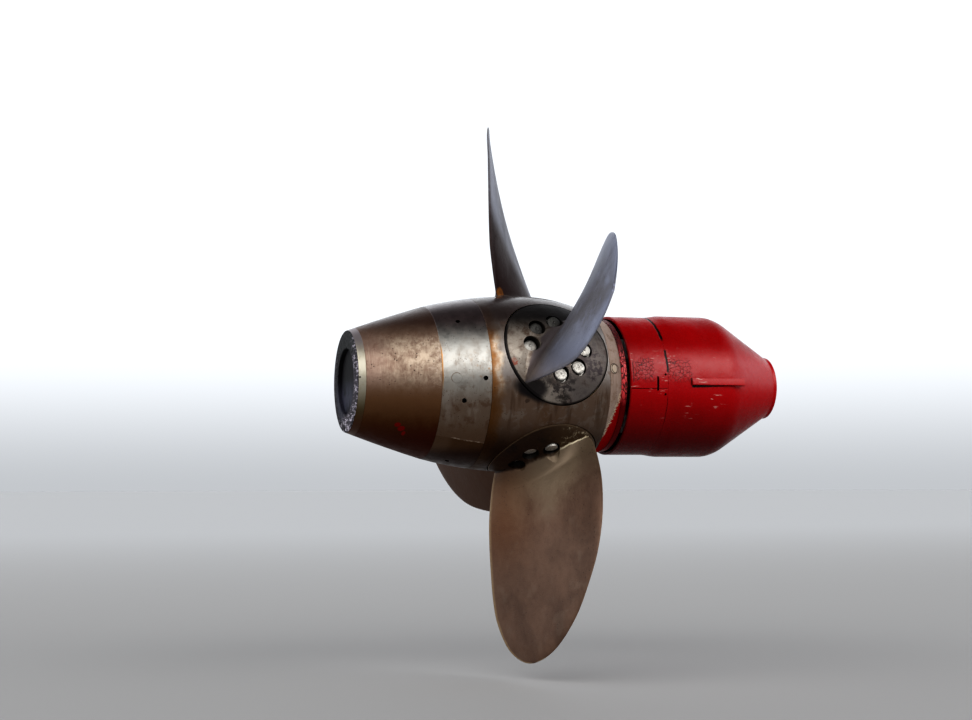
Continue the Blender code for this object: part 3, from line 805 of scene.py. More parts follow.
@dataclass(frozen=True)
class ConePatina:
    """The hub cone: brown bronze, tan on its side from rubbing and painted light, nearly black
    below.
    """

    name: str = "cone_patina"
    brown: Colour = (0.215, 0.138, 0.100)
    tan: Colour = (0.56, 0.46, 0.365)
    olive: Colour = (0.165, 0.085, 0.040)
    near_black: Colour = (0.062, 0.0095, 0.0010)
    red: Colour = (0.24, 0.003, 0.002)
    rosy: Colour = (0.37, 0.255, 0.215)
    blotch: Colour = (0.19, 0.115, 0.080)
    fore_rub: Colour = (0.60, 0.50, 0.42)
    low: Colour = (0.075, 0.026, 0.007)
    top: Colour = (0.055, 0.022, 0.015)
    hollow: Colour = (0.045, 0.026, 0.016)

    def build(self) -> Material:
        """Mixes the patina, with its rubbed patches, pits, drops of red paint, painted light on the
        side, and painted shade on top and below.

        Returns:
            The finished material.
        """
        g = Paint(self.name, self.brown)
        p = g.position()
        x, y, z = g.split(p)
        mottle = g.noise(p, 15.0, 6.0, 0.66, 0.3)
        streak = g.noise(g.place(p, (1.2, 5.0, 5.0)), 3.0, 4.0, 0.6)
        # Painted light as well as rubbing: the tan patches and marks gather in the band round the
        # side that the light falls on.
        side = g.times(g.fade(z, -0.14, 0.08), g.fade(z, 0.30, 0.20))
        fine = g.noise(g.place(p, (1.5, 1.0, 1.0)), 25.0, 5.0, 0.66)
        broad = g.fade(g.noise(p, 6.5, 3.0), 0.36, 0.62, 0.45, 1.0)
        rubbed = g.times(g.fade(fine, 0.30, 0.60, 0.25, 1.0), g.fade(side, 0.0, 1.0, 0.2, 1.0),
                         broad, g.fade(x, -2.80, -2.50, 0.35, 1.0))
        g.lay(g.times(rubbed, 0.95), self.tan)
        rosy = g.times(g.fade(x, -2.55, -2.74), g.fade(z, -0.14, 0.02), g.fade(z, 0.34, 0.22))
        g.lay(g.times(rosy, 0.45), self.rosy)
        g.lay(g.fade(mottle, 0.52, 0.64, 0.0, 0.5), self.blotch)
        g.lay(g.fade(streak, 0.5, 0.7, 0.0, 0.30), self.brown)
        marks = g.noise(g.place(p, (190.0, 9.0, 9.0)), 1.0, 2.0)
        g.lay(g.times(g.fade(marks, 0.58, 0.66), side, 0.28), self.tan)
        near = g.times(g.fade(x, -2.46, -2.35), g.fade(g.noise(p, 55.0, 3.0, 0.7), 0.52, 0.62),
                       side)
        g.lay(g.times(near, 0.6), self.fore_rub)
        # Darker towards the bottom: patina and painted shade.
        level = g.stir(z, mottle, 0.08)
        g.lay(g.fade(level, 0.03, -0.13), self.olive)
        g.lay(g.fade(level, -0.10, -0.30, 0.0, 0.75), self.low)
        g.lay(g.fade(level, -0.20, -0.38), self.near_black)
        # Painted shade: darker on top.
        top = g.fade(z, 0.24, 0.36)
        g.lay(g.times(top, 0.85), self.top)
        pit = g.times(g.fade(g.cells(p, 40.0), 0.19, 0.08), g.fade(mottle, 0.46, 0.56),
                      g.fade(z, -0.16, 0.0))
        g.lay(g.times(pit, 0.8), self.hollow)
        drops = g.most(g.spot(x, z, (-2.566, -0.268), (0.022, 0.016)),
                       g.spot(x, z, (-2.541, -0.290), (0.026, 0.019)),
                       g.spot(x, z, (-2.522, -0.318), (0.013, 0.016)))
        drops = g.times(g.fade(g.times(drops, g.noise(p, 55.0, 4.0, 0.7)), 0.12, 0.42),
                        g.fade(y, 0.0, -0.05), 0.85)
        g.lay(drops, self.red)
        rough = g.fade(mottle, 0.3, 0.75, 0.34, 0.55)
        normal = g.bump(mottle, 0.0022)
        normal = g.bump(g.rest(pit), 0.0022, normal)
        normal = g.bump(g.noise(g.place(p, (120.0, 2.0, 2.0)), 1.0, 2.0), 0.0003, normal)
        return g.shade(metallic=0.55, roughness=rough, normal=normal,
                       specular_ior_level=g.fade(z, -0.25, -0.05, 0.08, 0.5),
                       coat_weight=g.fade(z, 0.26, 0.40, 0.0, 0.8), coat_roughness=0.25)


@dataclass(frozen=True)
class EndMetal:
    """The pale machined rim round the cone's end, and its rough face."""

    name: str = "end_metal"
    pale: Colour = (0.50, 0.475, 0.40)
    olive: Colour = (0.11, 0.085, 0.040)
    violet: Colour = (0.085, 0.073, 0.095)
    bright: Colour = (0.62, 0.58, 0.66)
    stain: Colour = (0.38, 0.33, 0.22)
    rim_low: Colour = (0.090, 0.032, 0.010)
    rim_top: Colour = (0.36, 0.32, 0.335)
    drilled: Colour = (0.02, 0.015, 0.01)
    face_dark: Colour = (0.022, 0.019, 0.025)
    face_top: Colour = (0.035, 0.038, 0.038)
    hollow: Colour = (0.010, 0.009, 0.013)
    hollow_sheen: Colour = (0.050, 0.050, 0.074)

    def build(self) -> Material:
        """Mixes the machined rim outside and the rough violet face inside, with painted shade on the
        face's far side and top and a painted reflection in its hollow.

        Returns:
            The finished material.
        """
        g = Paint(self.name, self.pale)
        p = g.position()
        x, y, z = g.split(p)
        radius = g.length(y, z)
        mottle = g.noise(p, 26.0, 5.0, 0.65)
        g.lay(g.fade(mottle, 0.45, 0.75, 0.0, 0.5), self.stain)
        g.lay(g.fade(z, 0.02, -0.20), self.olive)
        g.lay(g.fade(z, -0.14, -0.28), self.rim_low)
        g.lay(g.fade(z, 0.14, 0.26), self.rim_top)
        drilled = g.times(g.spot(x, z, (-2.802, 0.010), (0.007, 0.007)), g.fade(y, 0.0, -0.1))
        g.lay(drilled, self.drilled)
        speck = g.noise(g.place(p, (40.0, 22.0, 64.0)), 1.0, 4.0, 0.72)
        coarse = g.noise(p, 30.0, 4.0, 0.72)
        # Painted shade: the face is darker, with fewer pale specks, on its far side.
        near = g.less(g.times(z, -0.55), y)
        face = g.blend(g.times(g.fade(coarse, 0.40, 0.60), g.fade(near, -0.12, 0.16, 0.15, 1.0)),
                       self.face_dark, self.violet)
        white = g.times(g.fade(speck, 0.50, 0.60), g.fade(radius, 0.200, 0.235),
                        g.fade(near, -0.10, 0.12, 0.1, 1.0))
        face = g.blend(white, face, self.bright)
        ragged = g.stir(radius, coarse, 0.10)
        # The hollow's colour, with a painted blue reflection low down, is also laid over the face's
        # far side as painted shade.
        hollow = g.blend(g.fade(z, 0.04, -0.10), self.hollow, self.hollow_sheen)
        face = g.blend(g.times(g.fade(ragged, 0.266, 0.240), g.fade(near, 0.13, 0.0)), face, hollow)
        # Painted shadow over the top of the face.
        face = g.blend(g.times(g.fade(z, 0.13, 0.22), g.rest(white), 0.8), face, self.face_top)
        inside = g.most(g.fade(x, -2.8085, -2.8105), g.fade(radius, 0.26, 0.25))
        g.lay(inside, face)
        rough = g.fade(inside, 0.0, 1.0, 0.36, 0.62)
        normal = g.bump(g.times(coarse, inside), 0.020)
        normal = g.bump(g.times(speck, inside), 0.008, normal)
        normal = g.bump(mottle, 0.0008, normal)
        return g.shade(metallic=0.6, roughness=rough, normal=normal)


@dataclass(frozen=True)
class RecessMetal:
    """The dark plate and walls inside the cone's end."""

    name: str = "recess_metal"
    dark: Colour = (0.006, 0.005, 0.007)
    sheen: Colour = (0.058, 0.060, 0.088)

    def build(self) -> Material:
        """Mixes dark metal with a faint painted blue reflection in its lower part.

        Returns:
            The finished material.
        """
        g = Paint(self.name, self.dark)
        p = g.position()
        z = g.split(p)[2]
        # Painted reflection: a faint blue sheen in the lower part.
        painted_blue_sheen = g.times(g.fade(z, 0.05, -0.10), g.fade(g.noise(p, 14.0, 3.0), 0.30, 0.60, 0.3, 1.0))
        g.lay(painted_blue_sheen, self.sheen)
        normal = g.bump(g.noise(p, 60.0, 4.0), 0.002)
        return g.shade(metallic=0.2, roughness=0.6, specular_ior_level=0.2, normal=normal)


@dataclass(frozen=True)
class BladeBronze:
    """One blade's cast bronze, with its own tones.

    The pattern is laid out as if the blade's spindle stood up: x along the shaft, y across and z
    out along the spindle. Each of the foot's marks, stains and painted shadows, is its middle, its
    half width and height, and its colour.
    """

    name: str
    turn: float
    face: Colour
    stain: Colour
    root: Colour
    foot: Colour
    foot_stain: Colour
    edge: Colour
    seed: float
    light: Colour = (0.30, 0.24, 0.19)
    dark: Colour = (0.03, 0.018, 0.015)
    shadow: float = 0.0
    foot_shade: float = 0.0
    foot_fore_tone_and_shade: Colour = (0.04, 0.02, 0.01)
    fore_share: float = 0.0
    foot_rim_line_and_highlight: Colour = (0.03, 0.022, 0.018)
    stains_and_shadows: tuple = ()
    near_black: tuple = ()
    crescent: float = 0.0
    halo: float = 0.0
    lip: float = 0.0
    patch: float = 0.5
    warm: float = 0.0
    root_rust: float = 0.0
    cover: float = 0.5
    metal: float = 0.6
    warm_tone: Colour = (0.185, 0.075, 0.026)
    rust_tone: Colour = (0.30, 0.115, 0.020)
    lip_highlight: Colour = (0.78, 0.70, 0.52)
    bore: Colour = (0.012, 0.009, 0.007)
    hollow: Colour = (0.03, 0.02, 0.015)
    soot_tone: Colour = (0.022, 0.018, 0.020)
    crescent_tone: Colour = (0.014, 0.011, 0.012)
    shade_tone: Colour = (0.020, 0.017, 0.018)

    def build(self) -> Material:
        """Mixes the bronze, from the stained foot to the rubbed edges of the blade, with painted
        shade, shadows and highlights.

        Returns:
            The finished material.
        """
        g = Paint(self.name, self.face)
        p = g.place(g.position(), turn=self.turn, shift=(-SPINDLE_X, 0.0, 0.0))
        x, y, z = g.split(p)
        radius = g.length(y, z)
        height = g.proud(x, y, z)
        wide = g.place(p, shift=(self.seed, 0.0, 0.0))
        cloud = g.noise(g.place(wide, (1.0, 1.0, 0.7)), 4.2, 6.0, 0.62, 0.25)
        fleck = g.noise(wide, 30.0, 5.0, 0.68)
        g.lay(g.fade(cloud, 0.36, 0.68), self.stain)
        g.lay(g.fade(fleck, 0.50, 0.70, 0.0, 0.45), self.stain)
        g.lay(g.fade(g.noise(wide, 9.0, 3.0), 0.54, 0.70, 0.0, self.patch), self.light)
        ragged = g.stir(radius, cloud, 0.5)
        g.lay(g.fade(ragged, 0.95, 0.62, 0.0, 0.9), self.root)
        along = self.along_chord(g, x, y, radius)
        halo = g.times(g.fade(g.sum("ABSOLUTE", along), 0.30, 0.90), g.fade(radius, 0.70, 1.15),
                       g.fade(cloud, 0.30, 0.55, 0.6, 1.0), self.halo)
        g.lay(halo, self.light)
        warm = g.times(g.fade(along, 0.1, -0.8), g.fade(radius, 1.30, 0.80), self.warm)
        g.lay(warm, self.warm_tone)
        slant = g.plus(along, g.times(g.less(radius, 0.66), 2.6))
        slant = g.stir(slant, cloud, 0.5)
        shaded = g.times(g.fade(slant, 0.46, -0.12), self.shadow)
        g.lay(shaded, self.dark)
        rubbed = g.most(g.fade(along, 0.93, 1.0), g.fade(along, -0.95, -1.0))
        rubbed = g.times(rubbed, g.fade(radius, 0.50, 0.57), g.fade(fleck, 0.3, 0.55, 0.5, 1.0))
        g.lay(g.times(rubbed, 0.8), self.edge)
        seep = g.spot(g.plus(x, g.times(fleck, 0.05)), radius, (-0.180, 0.560), (0.032, 0.055))
        seep = g.times(seep, g.fade(y, 0.0, -0.08), g.fade(fleck, 0.35, 0.6, 0.4, 1.0),
                       self.root_rust)
        g.lay(seep, self.rust_tone)
        flat = self.foot_colour(g, wide, x, y)
        ease = g.stir(height, fleck, 0.02)
        g.lay(g.fade(ease, 0.016, 0.003), flat)
        # Painted highlight along the blade's root just above the foot, on the leading side.
        lip = g.times(g.fade(ease, 0.0005, 0.004), g.fade(ease, 0.013, 0.007),
                      g.fade(x, 0.03, 0.09), g.fade(x, 0.38, 0.33), self.lip)
        g.lay(lip, self.lip_highlight)
        # Painted shade below the hub's outside: in the counterbores and down the foot's side.
        deep = g.fade(height, -0.004, -0.012)
        g.lay(g.times(deep, 0.93), self.bore)
        pit = g.times(g.fade(g.cells(wide, 46.0), 0.17, 0.08), g.fade(cloud, 0.40, 0.56))
        g.lay(g.times(pit, 0.75), self.hollow)
        rough = g.fade(cloud, 0.3, 0.75, 0.34, 0.50)
        normal = g.bump(g.noise(wide, 110.0, 3.0, 0.6), 0.0006)
        normal = g.bump(g.noise(wide, 16.0, 3.0), 0.0018, normal)
        normal = g.bump(g.rest(pit), 0.0015, normal)
        metal = g.fade(deep, 0.0, 1.0, self.metal, 0.0)
        return g.shade(metallic=metal, roughness=rough, normal=normal,
                       specular_ior_level=g.fade(shaded, 0.0, 1.0, 0.5, 0.05))

    def foot_colour(self, g: Paint, wide: Value, x: Value, y: Value) -> Socket:
        """The stained face of the round foot, with painted shade, shadows and a highlight on it.

        Args:
            g: The material's graph.
            wide: The place, moved by the blade's seed.
            x: The place along the shaft from the spindle.
            y: The place across the spindle.

        Returns:
            The colour.
        """
        blot = g.noise(wide, 10.0, 6.0, 0.66, 0.3)
        low, high = 0.52 - 0.2 * self.cover, 0.76 - 0.2 * self.cover
        flat = g.blend(g.fade(blot, low, high), self.foot, self.foot_stain)
        flat = g.blend(g.fade(g.noise(wide, 46.0, 4.0, 0.7), 0.50, 0.74, 0.0, 0.4), flat,
                       self.foot_stain)
        # A tone over the foot's forward part: painted shade on the near blade, a lighter brown on
        # the lower one.
        fore = g.times(g.fade(x, -0.14, 0.12), g.fade(blot, 0.3, 0.6, 1.0, 0.75), self.fore_share)
        flat = g.blend(fore, flat, self.foot_fore_tone_and_shade)
        out = g.length(x, y)
        # The foot's rim line: dark by default, a painted golden highlight on the lower blade.
        rim = g.times(g.fade(out, 0.3290, 0.3335), g.fade(blot, 0.35, 0.55, 0.5, 0.9))
        flat = g.blend(rim, flat, self.foot_rim_line_and_highlight)
        for index, (middle, size, tone) in enumerate(self.stains_and_shadows):
            swirl = g.noise(g.place(wide, shift=(1.7 * index, 0.0, 0.0)), 26.0, 4.0, 0.65)
            off = g.times(g.less(swirl, 0.5), 4.5 * size[1])
            stain = g.spot(g.plus(x, off), g.less(y, off), middle, size)
            flat = g.blend(g.times(stain, g.fade(swirl, 0.72, 0.34, 0.35, 0.9)), flat, tone)
        # Near-black spots: on the near blade's foot, a painted shadow under its trailing corner.
        for middle, size in self.near_black:
            flat = g.blend(g.times(g.spot(x, y, middle, size), 0.95), flat, self.soot_tone)
        bow = g.times(g.fade(out, 0.320, 0.327), g.fade(x, -0.08, -0.16), g.fade(y, 0.18, 0.10))
        flat = g.blend(g.times(bow, self.crescent), flat, self.crescent_tone)
        return g.blend(g.times(g.fade(y, 0.03, 0.22), self.foot_shade), flat, self.shade_tone)

    def along_chord(self, g: Paint, x: Value, y: Value, radius: Value) -> Socket:
        """How far along a section a point is.

        Args:
            g: The material's graph.
            x: The place along the shaft.
            y: The place across the spindle.
            radius: The distance from the shaft.

        Returns:
            1 at the leading edge, -1 at the trailing edge.
        """
        shape = BladeShape()
        root, tip = shape.root_radius, shape.tip_radius
        share = g.sum("DIVIDE", g.less(radius, root), tip - root)
        slope = shape.pitch[5] / (2 * math.pi)
        length = g.sum("SQRT", g.plus(g.times(radius, radius), slope * slope))
        reach = g.sum("DIVIDE", g.plus(g.times(x, slope), g.times(y, radius)), length)
        spans = [math.sin(math.radians(angle)) for angle in shape.span]
        # A ramp holds nothing below 0, so each row is lifted for it and lowered again.
        lead, trail = (
            g.less(g.curve(share, tuple(zip(spans, [value + lift for value in row]))), lift)
            for row, lift in ((shape.leading, 0.5), (shape.trailing, 0.6)))
        middle = g.times(g.plus(lead, trail), 0.5)
        half = g.most(g.times(g.less(lead, trail), 0.5), 0.02)
        return g.sum("DIVIDE", g.less(reach, middle), half)


@dataclass(frozen=True)
class FittingSteel:
    """Bolts and inner machined parts; painted shade darkens what stands higher than a given height.
    """

    name: str
    metal: Colour = (0.52, 0.50, 0.47)
    dirt: Colour = (0.07, 0.05, 0.035)
    share: float = 0.5
    shaded_above: float = 9.0
    top_shade: Colour = (0.045, 0.045, 0.043)

    def build(self) -> Material:
        """Mixes worn steel with dirt in its hollows, and painted shade over what stands high.

        Returns:
            The finished material.
        """
        g = Paint(self.name, self.metal)
        p = g.position()
        z = g.split(p)[2]
        blot = g.noise(p, 60.0, 5.0, 0.7)
        g.lay(g.fade(blot, 0.42, 0.66, 0.0, self.share), self.dirt)
        # Painted shade over what stands high, such as the bolts under a blade.
        top_shade = g.fade(z, self.shaded_above, self.shaded_above + 0.13, 0.0, 0.93)
        g.lay(top_shade, self.top_shade)
        rough = g.fade(blot, 0.3, 0.7, 0.30, 0.5)
        normal = g.bump(blot, 0.0035)
        return g.shade(metallic=0.75, roughness=rough, normal=normal)


@dataclass(frozen=True)
class FloorPaint:
    """The studio floor."""

    name: str = "studio_floor"
    tone: Colour = (0.42, 0.42, 0.425)
    scuffed: Colour = (0.36, 0.36, 0.36)
    far: Colour = (0.580, 0.594, 0.616)

    def build(self) -> Material:
        """Mixes a plain pale floor paint with the faintest mottle, paler far off.

        Returns:
            The finished material.
        """
        g = Paint(self.name, self.tone)
        p = g.position()
        mottle = g.noise(p, 0.7, 2.0)
        g.lay(g.times(mottle, 0.06), self.scuffed)
        g.lay(g.fade(g.split(p)[1], 1.5, 30.0), self.far)
        return g.shade(roughness=0.8)


class Bench:
    """Makes and combines meshes."""

    SMOOTH_TO = math.radians(31)
    TIGHT = 1e-6

    @staticmethod
    def show(name: str, mesh: Mesh) -> Piece:
        """Puts a mesh in the scene as an object at the origin.

        Args:
            name: The object's name.
            mesh: The mesh.

        Returns:
            The new object.
        """
        obj = bpy.data.objects.new(name, mesh)
        bpy.context.scene.collection.objects.link(obj)
        return obj

    @staticmethod
    def keep(name: str, bm: bmesh.types.BMesh) -> Piece:
        """Turns a bmesh into an object.

        Args:
            name: The object's name.
            bm: The bmesh, which is freed.

        Returns:
            The new object.
        """
        mesh = bpy.data.meshes.new(name)
        bm.to_mesh(mesh)
        bm.free()
        return Bench.show(name, mesh)

    @staticmethod
    def spun(name: str, profile: list[Point], steps: int = 240, closed: bool = False,
             arc: float = 2 * math.pi, start: float = 0.0) -> Piece:
        """Spins an outline round the shaft's axis.

        Args:
            name: The object's name.
            profile: Points of x from the spindle plane and radius.
            steps: Steps in the arc.
            closed: Whether the last point joins the first.
            arc: The angle of the spin.
            start: Where the spin starts, from straight up towards -Y.

        Returns:
            The turned piece, in place.
        """
        bm = bmesh.new()
        points = [bm.verts.new((x + SPINDLE_X, 0.0, radius)) for x, radius in profile]
        edges = [bm.edges.new(pair) for pair in zip(points, points[1:])]
        if closed:
            edges.append(bm.edges.new((points[-1], points[0])))
        bmesh.ops.rotate(bm, verts=bm.verts, cent=(0, 0, 0), matrix=Matrix.Rotation(start, 3, "X"))
        whole = arc > 2 * math.pi - Bench.TIGHT
        if not whole and closed:
            bm.faces.new(points)
            bmesh.ops.spin(bm, geom=bm.verts[:] + bm.edges[:] + bm.faces[:], cent=(0, 0, 0),
                           axis=(1, 0, 0), angle=arc, steps=steps)
        else:
            bmesh.ops.spin(bm, geom=points + edges, cent=(0, 0, 0), axis=(1, 0, 0), angle=arc,
                           steps=steps, use_merge=whole)
        bmesh.ops.remove_doubles(bm, verts=bm.verts, dist=Bench.TIGHT)
        bmesh.ops.recalc_face_normals(bm, faces=bm.faces)
        return Bench.keep(name, bm)

    @staticmethod
    def drum(name: str, radius: float, low: float, high: float, sides: int,
             place: Matrix = Matrix.Identity(4)) -> Piece:
        """Makes a cylinder.

        Args:
            name: The object's name.
            radius: Its radius.
            low: Its lower end along Z.
            high: Its upper end along Z.
            sides: How many sides it has.
            place: Where it goes after that.

        Returns:
            The cylinder.
        """
        bm = bmesh.new()
        bmesh.ops.create_cone(bm, cap_ends=True, segments=sides, radius1=radius, radius2=radius,
                              depth=high - low)
        bmesh.ops.translate(bm, verts=bm.verts, vec=(0.0, 0.0, (high + low) / 2))
        bmesh.ops.transform(bm, matrix=place, verts=bm.verts)
        return Bench.keep(name, bm)

    @staticmethod
    def block(name: str, low: Vector, high: Vector, edge: float = 0.0) -> Piece:
        """Makes a box between two corners.

        Args:
            name: The object's name.
            low: Its lowest corner.
            high: Its highest corner.
            edge: How far its edges are rounded.

        Returns:
            The box.
        """
        bm = bmesh.new()
        bmesh.ops.create_cube(bm, size=1.0)
        bmesh.ops.scale(bm, verts=bm.verts, vec=high - low)
        bmesh.ops.translate(bm, verts=bm.verts, vec=(high + low) / 2)
        if edge:
            bmesh.ops.bevel(bm, geom=bm.edges[:], offset=edge, affect="EDGES", segments=3,
                            profile=0.5, material=-1)
        return Bench.keep(name, bm)

    @staticmethod
    def combine(obj: Piece, steps: Steps) -> Piece:
        """Adds and cuts solids one after the other.

        Args:
            obj: The piece to change.
            steps: Each helper, which is used up, and how it is combined.

        Returns:
            The same piece with its new mesh.
        """
        for helper, way in steps:
            boolean = obj.modifiers.new(helper.name, "BOOLEAN")
            boolean.operation = way.value
            boolean.solver = "EXACT"
            boolean.object = helper
        bpy.context.view_layer.update()
        graph = bpy.context.evaluated_depsgraph_get()
        mesh = bpy.data.meshes.new_from_object(obj.evaluated_get(graph))
        obj.modifiers.clear()
        obj.data = mesh
        for helper, _ in steps:
            bpy.data.objects.remove(helper)
        return obj

    @staticmethod
    def smooth(obj: Piece, angle: float = SMOOTH_TO) -> Piece:
        """Shades a piece smooth.

        Args:
            obj: The piece.
            angle: Edges that turn further than this stay sharp.

        Returns:
            The same piece.
        """
        obj.data.shade_smooth()
        obj.data.set_sharp_from_angle(angle=angle)
        return obj

    @staticmethod
    def dress(obj: Piece, material: Material, body: Body, slot: Slot, *nodes: str) -> None:
        """Gives a piece its finish and its place in the model, and reports it.

        Args:
            obj: The piece.
            material: Its material.
            body: The body that it rides on.
            slot: The record's material slot; not used.
            nodes: The CAD nodes that it stands for.
        """
        obj.data.materials.clear()
        obj.data.materials.append(material)
        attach(obj, body.value)
        if nodes:
            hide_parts(*nodes)
        LOG.info("%s: %d faces on %s", obj.name, len(obj.data.polygons), body.value)

    @staticmethod
    def repaint(node: str, material: Material) -> None:
        """Gives a CAD node that stays in view a better material, and reports it.

        Args:
            node: The node's name.
            material: Its material.
        """
        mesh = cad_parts[node].data
        mesh.materials.clear()
        mesh.materials.append(material)
        LOG.info("%s: repainted", node)


def from_shaft(x: float, radius: float, angle: float) -> Matrix:
    """The place of a small fitting on the hub, its Z pointing out from the shaft.

    Args:
        x: From the spindle plane.
        radius: From the shaft's axis.
        angle: From straight up towards +Y.

    Returns:
        The matrix.
    """
    return (Matrix.Translation((SPINDLE_X + x, 0.0, 0.0)) @ Matrix.Rotation(-angle, 4, "X")
            @ Matrix.Translation((0.0, 0.0, radius)))


@dataclass(frozen=True)
class HubShape:
    """The hub's outside and where its pieces meet, along the shaft from the spindle plane."""

    radius: float = 0.55
    crown: float = -0.08
    aft_arc: float = 2.52
    fore_arc: float = 1.10
    end: float = -1.194
    end_radius: float = 0.308
    cone_bulge: float = 0.004
    ring_end: float = -1.146
    cone_seam: float = -0.721
    body_aft: float = -0.429
    body_fore: float = 0.351
    ring_fore: float = 0.442
    flange_fore: float = 0.480
    seat: float = 0.0003
    blades: int = 4
    first_blade: float = math.radians(22.5)

    def turns(self) -> list[float]:
        """Returns the blades' angles, from straight up towards +Y."""
        return [self.first_blade + i * 2 * math.pi / self.blades for i in range(self.blades)]

    def outside(self, x: float) -> float:
        """Measures the hub.

        Args:
            x: The place along the shaft.

        Returns:
            The hub's radius there.
        """
        if x < self.cone_seam:
            share = (x - self.end) / (self.cone_seam - self.end)
            seam = self.outside(self.cone_seam)
            bulge = 4 * self.cone_bulge * share * (1 - share)
            return self.end_radius + (seam - self.end_radius) * share + bulge
        arc = self.aft_arc if x < self.crown else self.fore_arc
        return self.radius - arc + math.sqrt(arc * arc - (x - self.crown) ** 2)

    def skin(self, low: float, high: float, steps: int, round_low: float = 0.0015,
             round_high: float = 0.0015) -> list[Point]:
        """The outline between two seams, with its corners eased.

        Args:
            low: The aft seam.
            high: The forward seam.
            steps: How many steps it is cut into.
            round_low: How far the aft corner is eased.
            round_high: How far the forward corner is eased.

        Returns:
            Points of x and radius from the aft end to the forward end.
        """
        inner_low, inner_high = low + round_low, high - round_high
        xs = [inner_low + (inner_high - inner_low) * i / steps for i in range(steps + 1)]
        points = [(x, self.outside(x)) for x in xs]
        first = (low, self.outside(low) - round_low)
        last = (high, self.outside(high) - round_high)
        return [first, *points, last]


@dataclass(frozen=True)
class BladeShape:
    """A blade's sections, foot and bolts, with its spindle standing up."""

    root_radius: float = 0.50
    tip_radius: float = 1.7374
    camber: float = 0.017
    back_fillet: float = 0.036
    face_fillet: float = 0.105
    span: tuple = (0.0, 3.0, 8.0, 16.0, 24.0, 32.0, 41.0, 50.0, 59.0, 67.0, 74.0, 80.0, 90.0)
    leading: tuple = (0.332, 0.368, 0.407, 0.445, 0.455, 0.448, 0.398, 0.303, 0.199, 0.085,
                      -0.021, -0.115, -0.280)
    trailing: tuple = (-0.308, -0.334, -0.373, -0.425, -0.466, -0.499, -0.531, -0.543, -0.517,
                       -0.476, -0.423, -0.370, -0.280)
    pitch: tuple = (3.22, 3.31, 3.43, 3.61, 3.70, 3.68, 3.66, 3.66, 3.67, 3.67, 3.66, 3.65, 3.64)
    thickness: tuple = (0.131, 0.121, 0.104, 0.083, 0.069, 0.059, 0.048, 0.037, 0.029, 0.023,
                        0.019, 0.016, 0.012)
    rake: tuple = (-0.003, -0.009, -0.019, -0.030, -0.037, -0.045, -0.050, -0.053, -0.056,
                   -0.057, -0.055, -0.053, -0.050)
    buried_height: float = 0.41
    lowest_radius: float = 0.478
    foot_radius: float = 0.3375
    foot_underside: float = 0.3786
    bolt_circle: float = 0.172
    bolt_turns: tuple = (-87.0, -43.0, 1.0)
    counterbore: float = 0.053
    counterbore_floor: float = 0.470
    head_radius: float = 0.040
    head_height: float = 0.046
    dome: float = 0.006
    dome_steps: int = 9
    dome_step: float = 9.0
    dimple_radius: float = 0.008
    washer: float = 0.007
    washer_height: float = 0.006
    root_step: float = 0.005
    root_steps: int = 42
    span_steps: int = 44
    keen_share: float = 0.3

    def through(self, row: tuple, angle: float) -> float:
        """Reads a smooth curve through a row of values.

        Args:
            row: One value for each angle of span.
            angle: The angle of span.

        Returns:
            The value there.
        """
        xs = self.span
        i = max(k for k in range(len(xs) - 1) if xs[k] <= angle)
        slopes = []
        for k in (i, i + 1):
            low, high = max(k - 1, 0), min(k + 1, len(xs) - 1)
            slopes.append((row[high] - row[low]) / (xs[high] - xs[low]))
        width = xs[i + 1] - xs[i]
        t = (angle - xs[i]) / width
        start = (1 + 2 * t) * (1 - t) ** 2 * row[i] + t * (1 - t) ** 2 * width * slopes[0]
        end = t * t * (3 - 2 * t) * row[i + 1] + t * t * (t - 1) * width * slopes[1]
        return start + end

    def stations(self) -> list[float]:
        """Spaces out the sections, close together in the root fillet.

        Returns:
            Their radii, from the root to the tip.
        """
        root = [self.lowest_radius + self.root_step * i for i in range(self.root_steps)]
        reach = self.tip_radius - self.root_radius
        first = math.asin((root[-1] + self.root_step - self.root_radius) / reach)
        count = self.span_steps
        angles = [first + (math.pi / 2 - first) * i / count for i in range(count + 1)]
        return root + [self.root_radius + reach * math.sin(angle) for angle in angles]

    def point(self, radius: float, turn: float, hub: HubShape, buried: bool) -> Vector:
        """A point on the blade's skin.

        Args:
            radius: The section's distance from the shaft.
            turn: The place round the section: 0 at the leading edge, pi at the trailing edge.
            hub: The hub that the root fillet meets.
            buried: Whether the section is the flat one inside the foot.

        Returns:
            The point, spindle up.
        """
        share = min(max((radius - self.root_radius) / (self.tip_radius - self.root_radius), 0), 1)
        angle = math.degrees(math.asin(share))
        leading, trailing, pitch, thickness, rake = (
            self.through(row, angle)
            for row in (self.leading, self.trailing, self.pitch, self.thickness, self.rake))
        helix = math.atan2(pitch, 2 * math.pi * max(radius, self.root_radius))
        chord = leading - trailing
        along = math.cos(turn)
        reach = (leading + trailing) / 2 + chord / 2 * along
        side = math.sin(turn)
        fillet = self.back_fillet if side > 0 else self.face_fillet
        height = min(max(radius - hub.outside(rake + reach * math.sin(helix)), 0.0), fillet)
        flare = fillet - math.sqrt(fillet ** 2 - (fillet - height) ** 2)
        keen = 1.0 + max(1.0 - share / self.keen_share, 0.0)
        lift = thickness / 2 * math.copysign(abs(side) ** keen, side)
        lift += math.copysign(flare * side * side, side)
        lift += self.camber * chord * (1 - share) * (1 - along * along)
        x = rake + reach * math.sin(helix) + lift * math.cos(helix)
        arc = reach * math.cos(helix) - lift * math.sin(helix)
        if buried:
            return Vector((x, arc, self.buried_height))
        return Vector((x, radius * math.sin(arc / radius), radius * math.cos(arc / radius)))


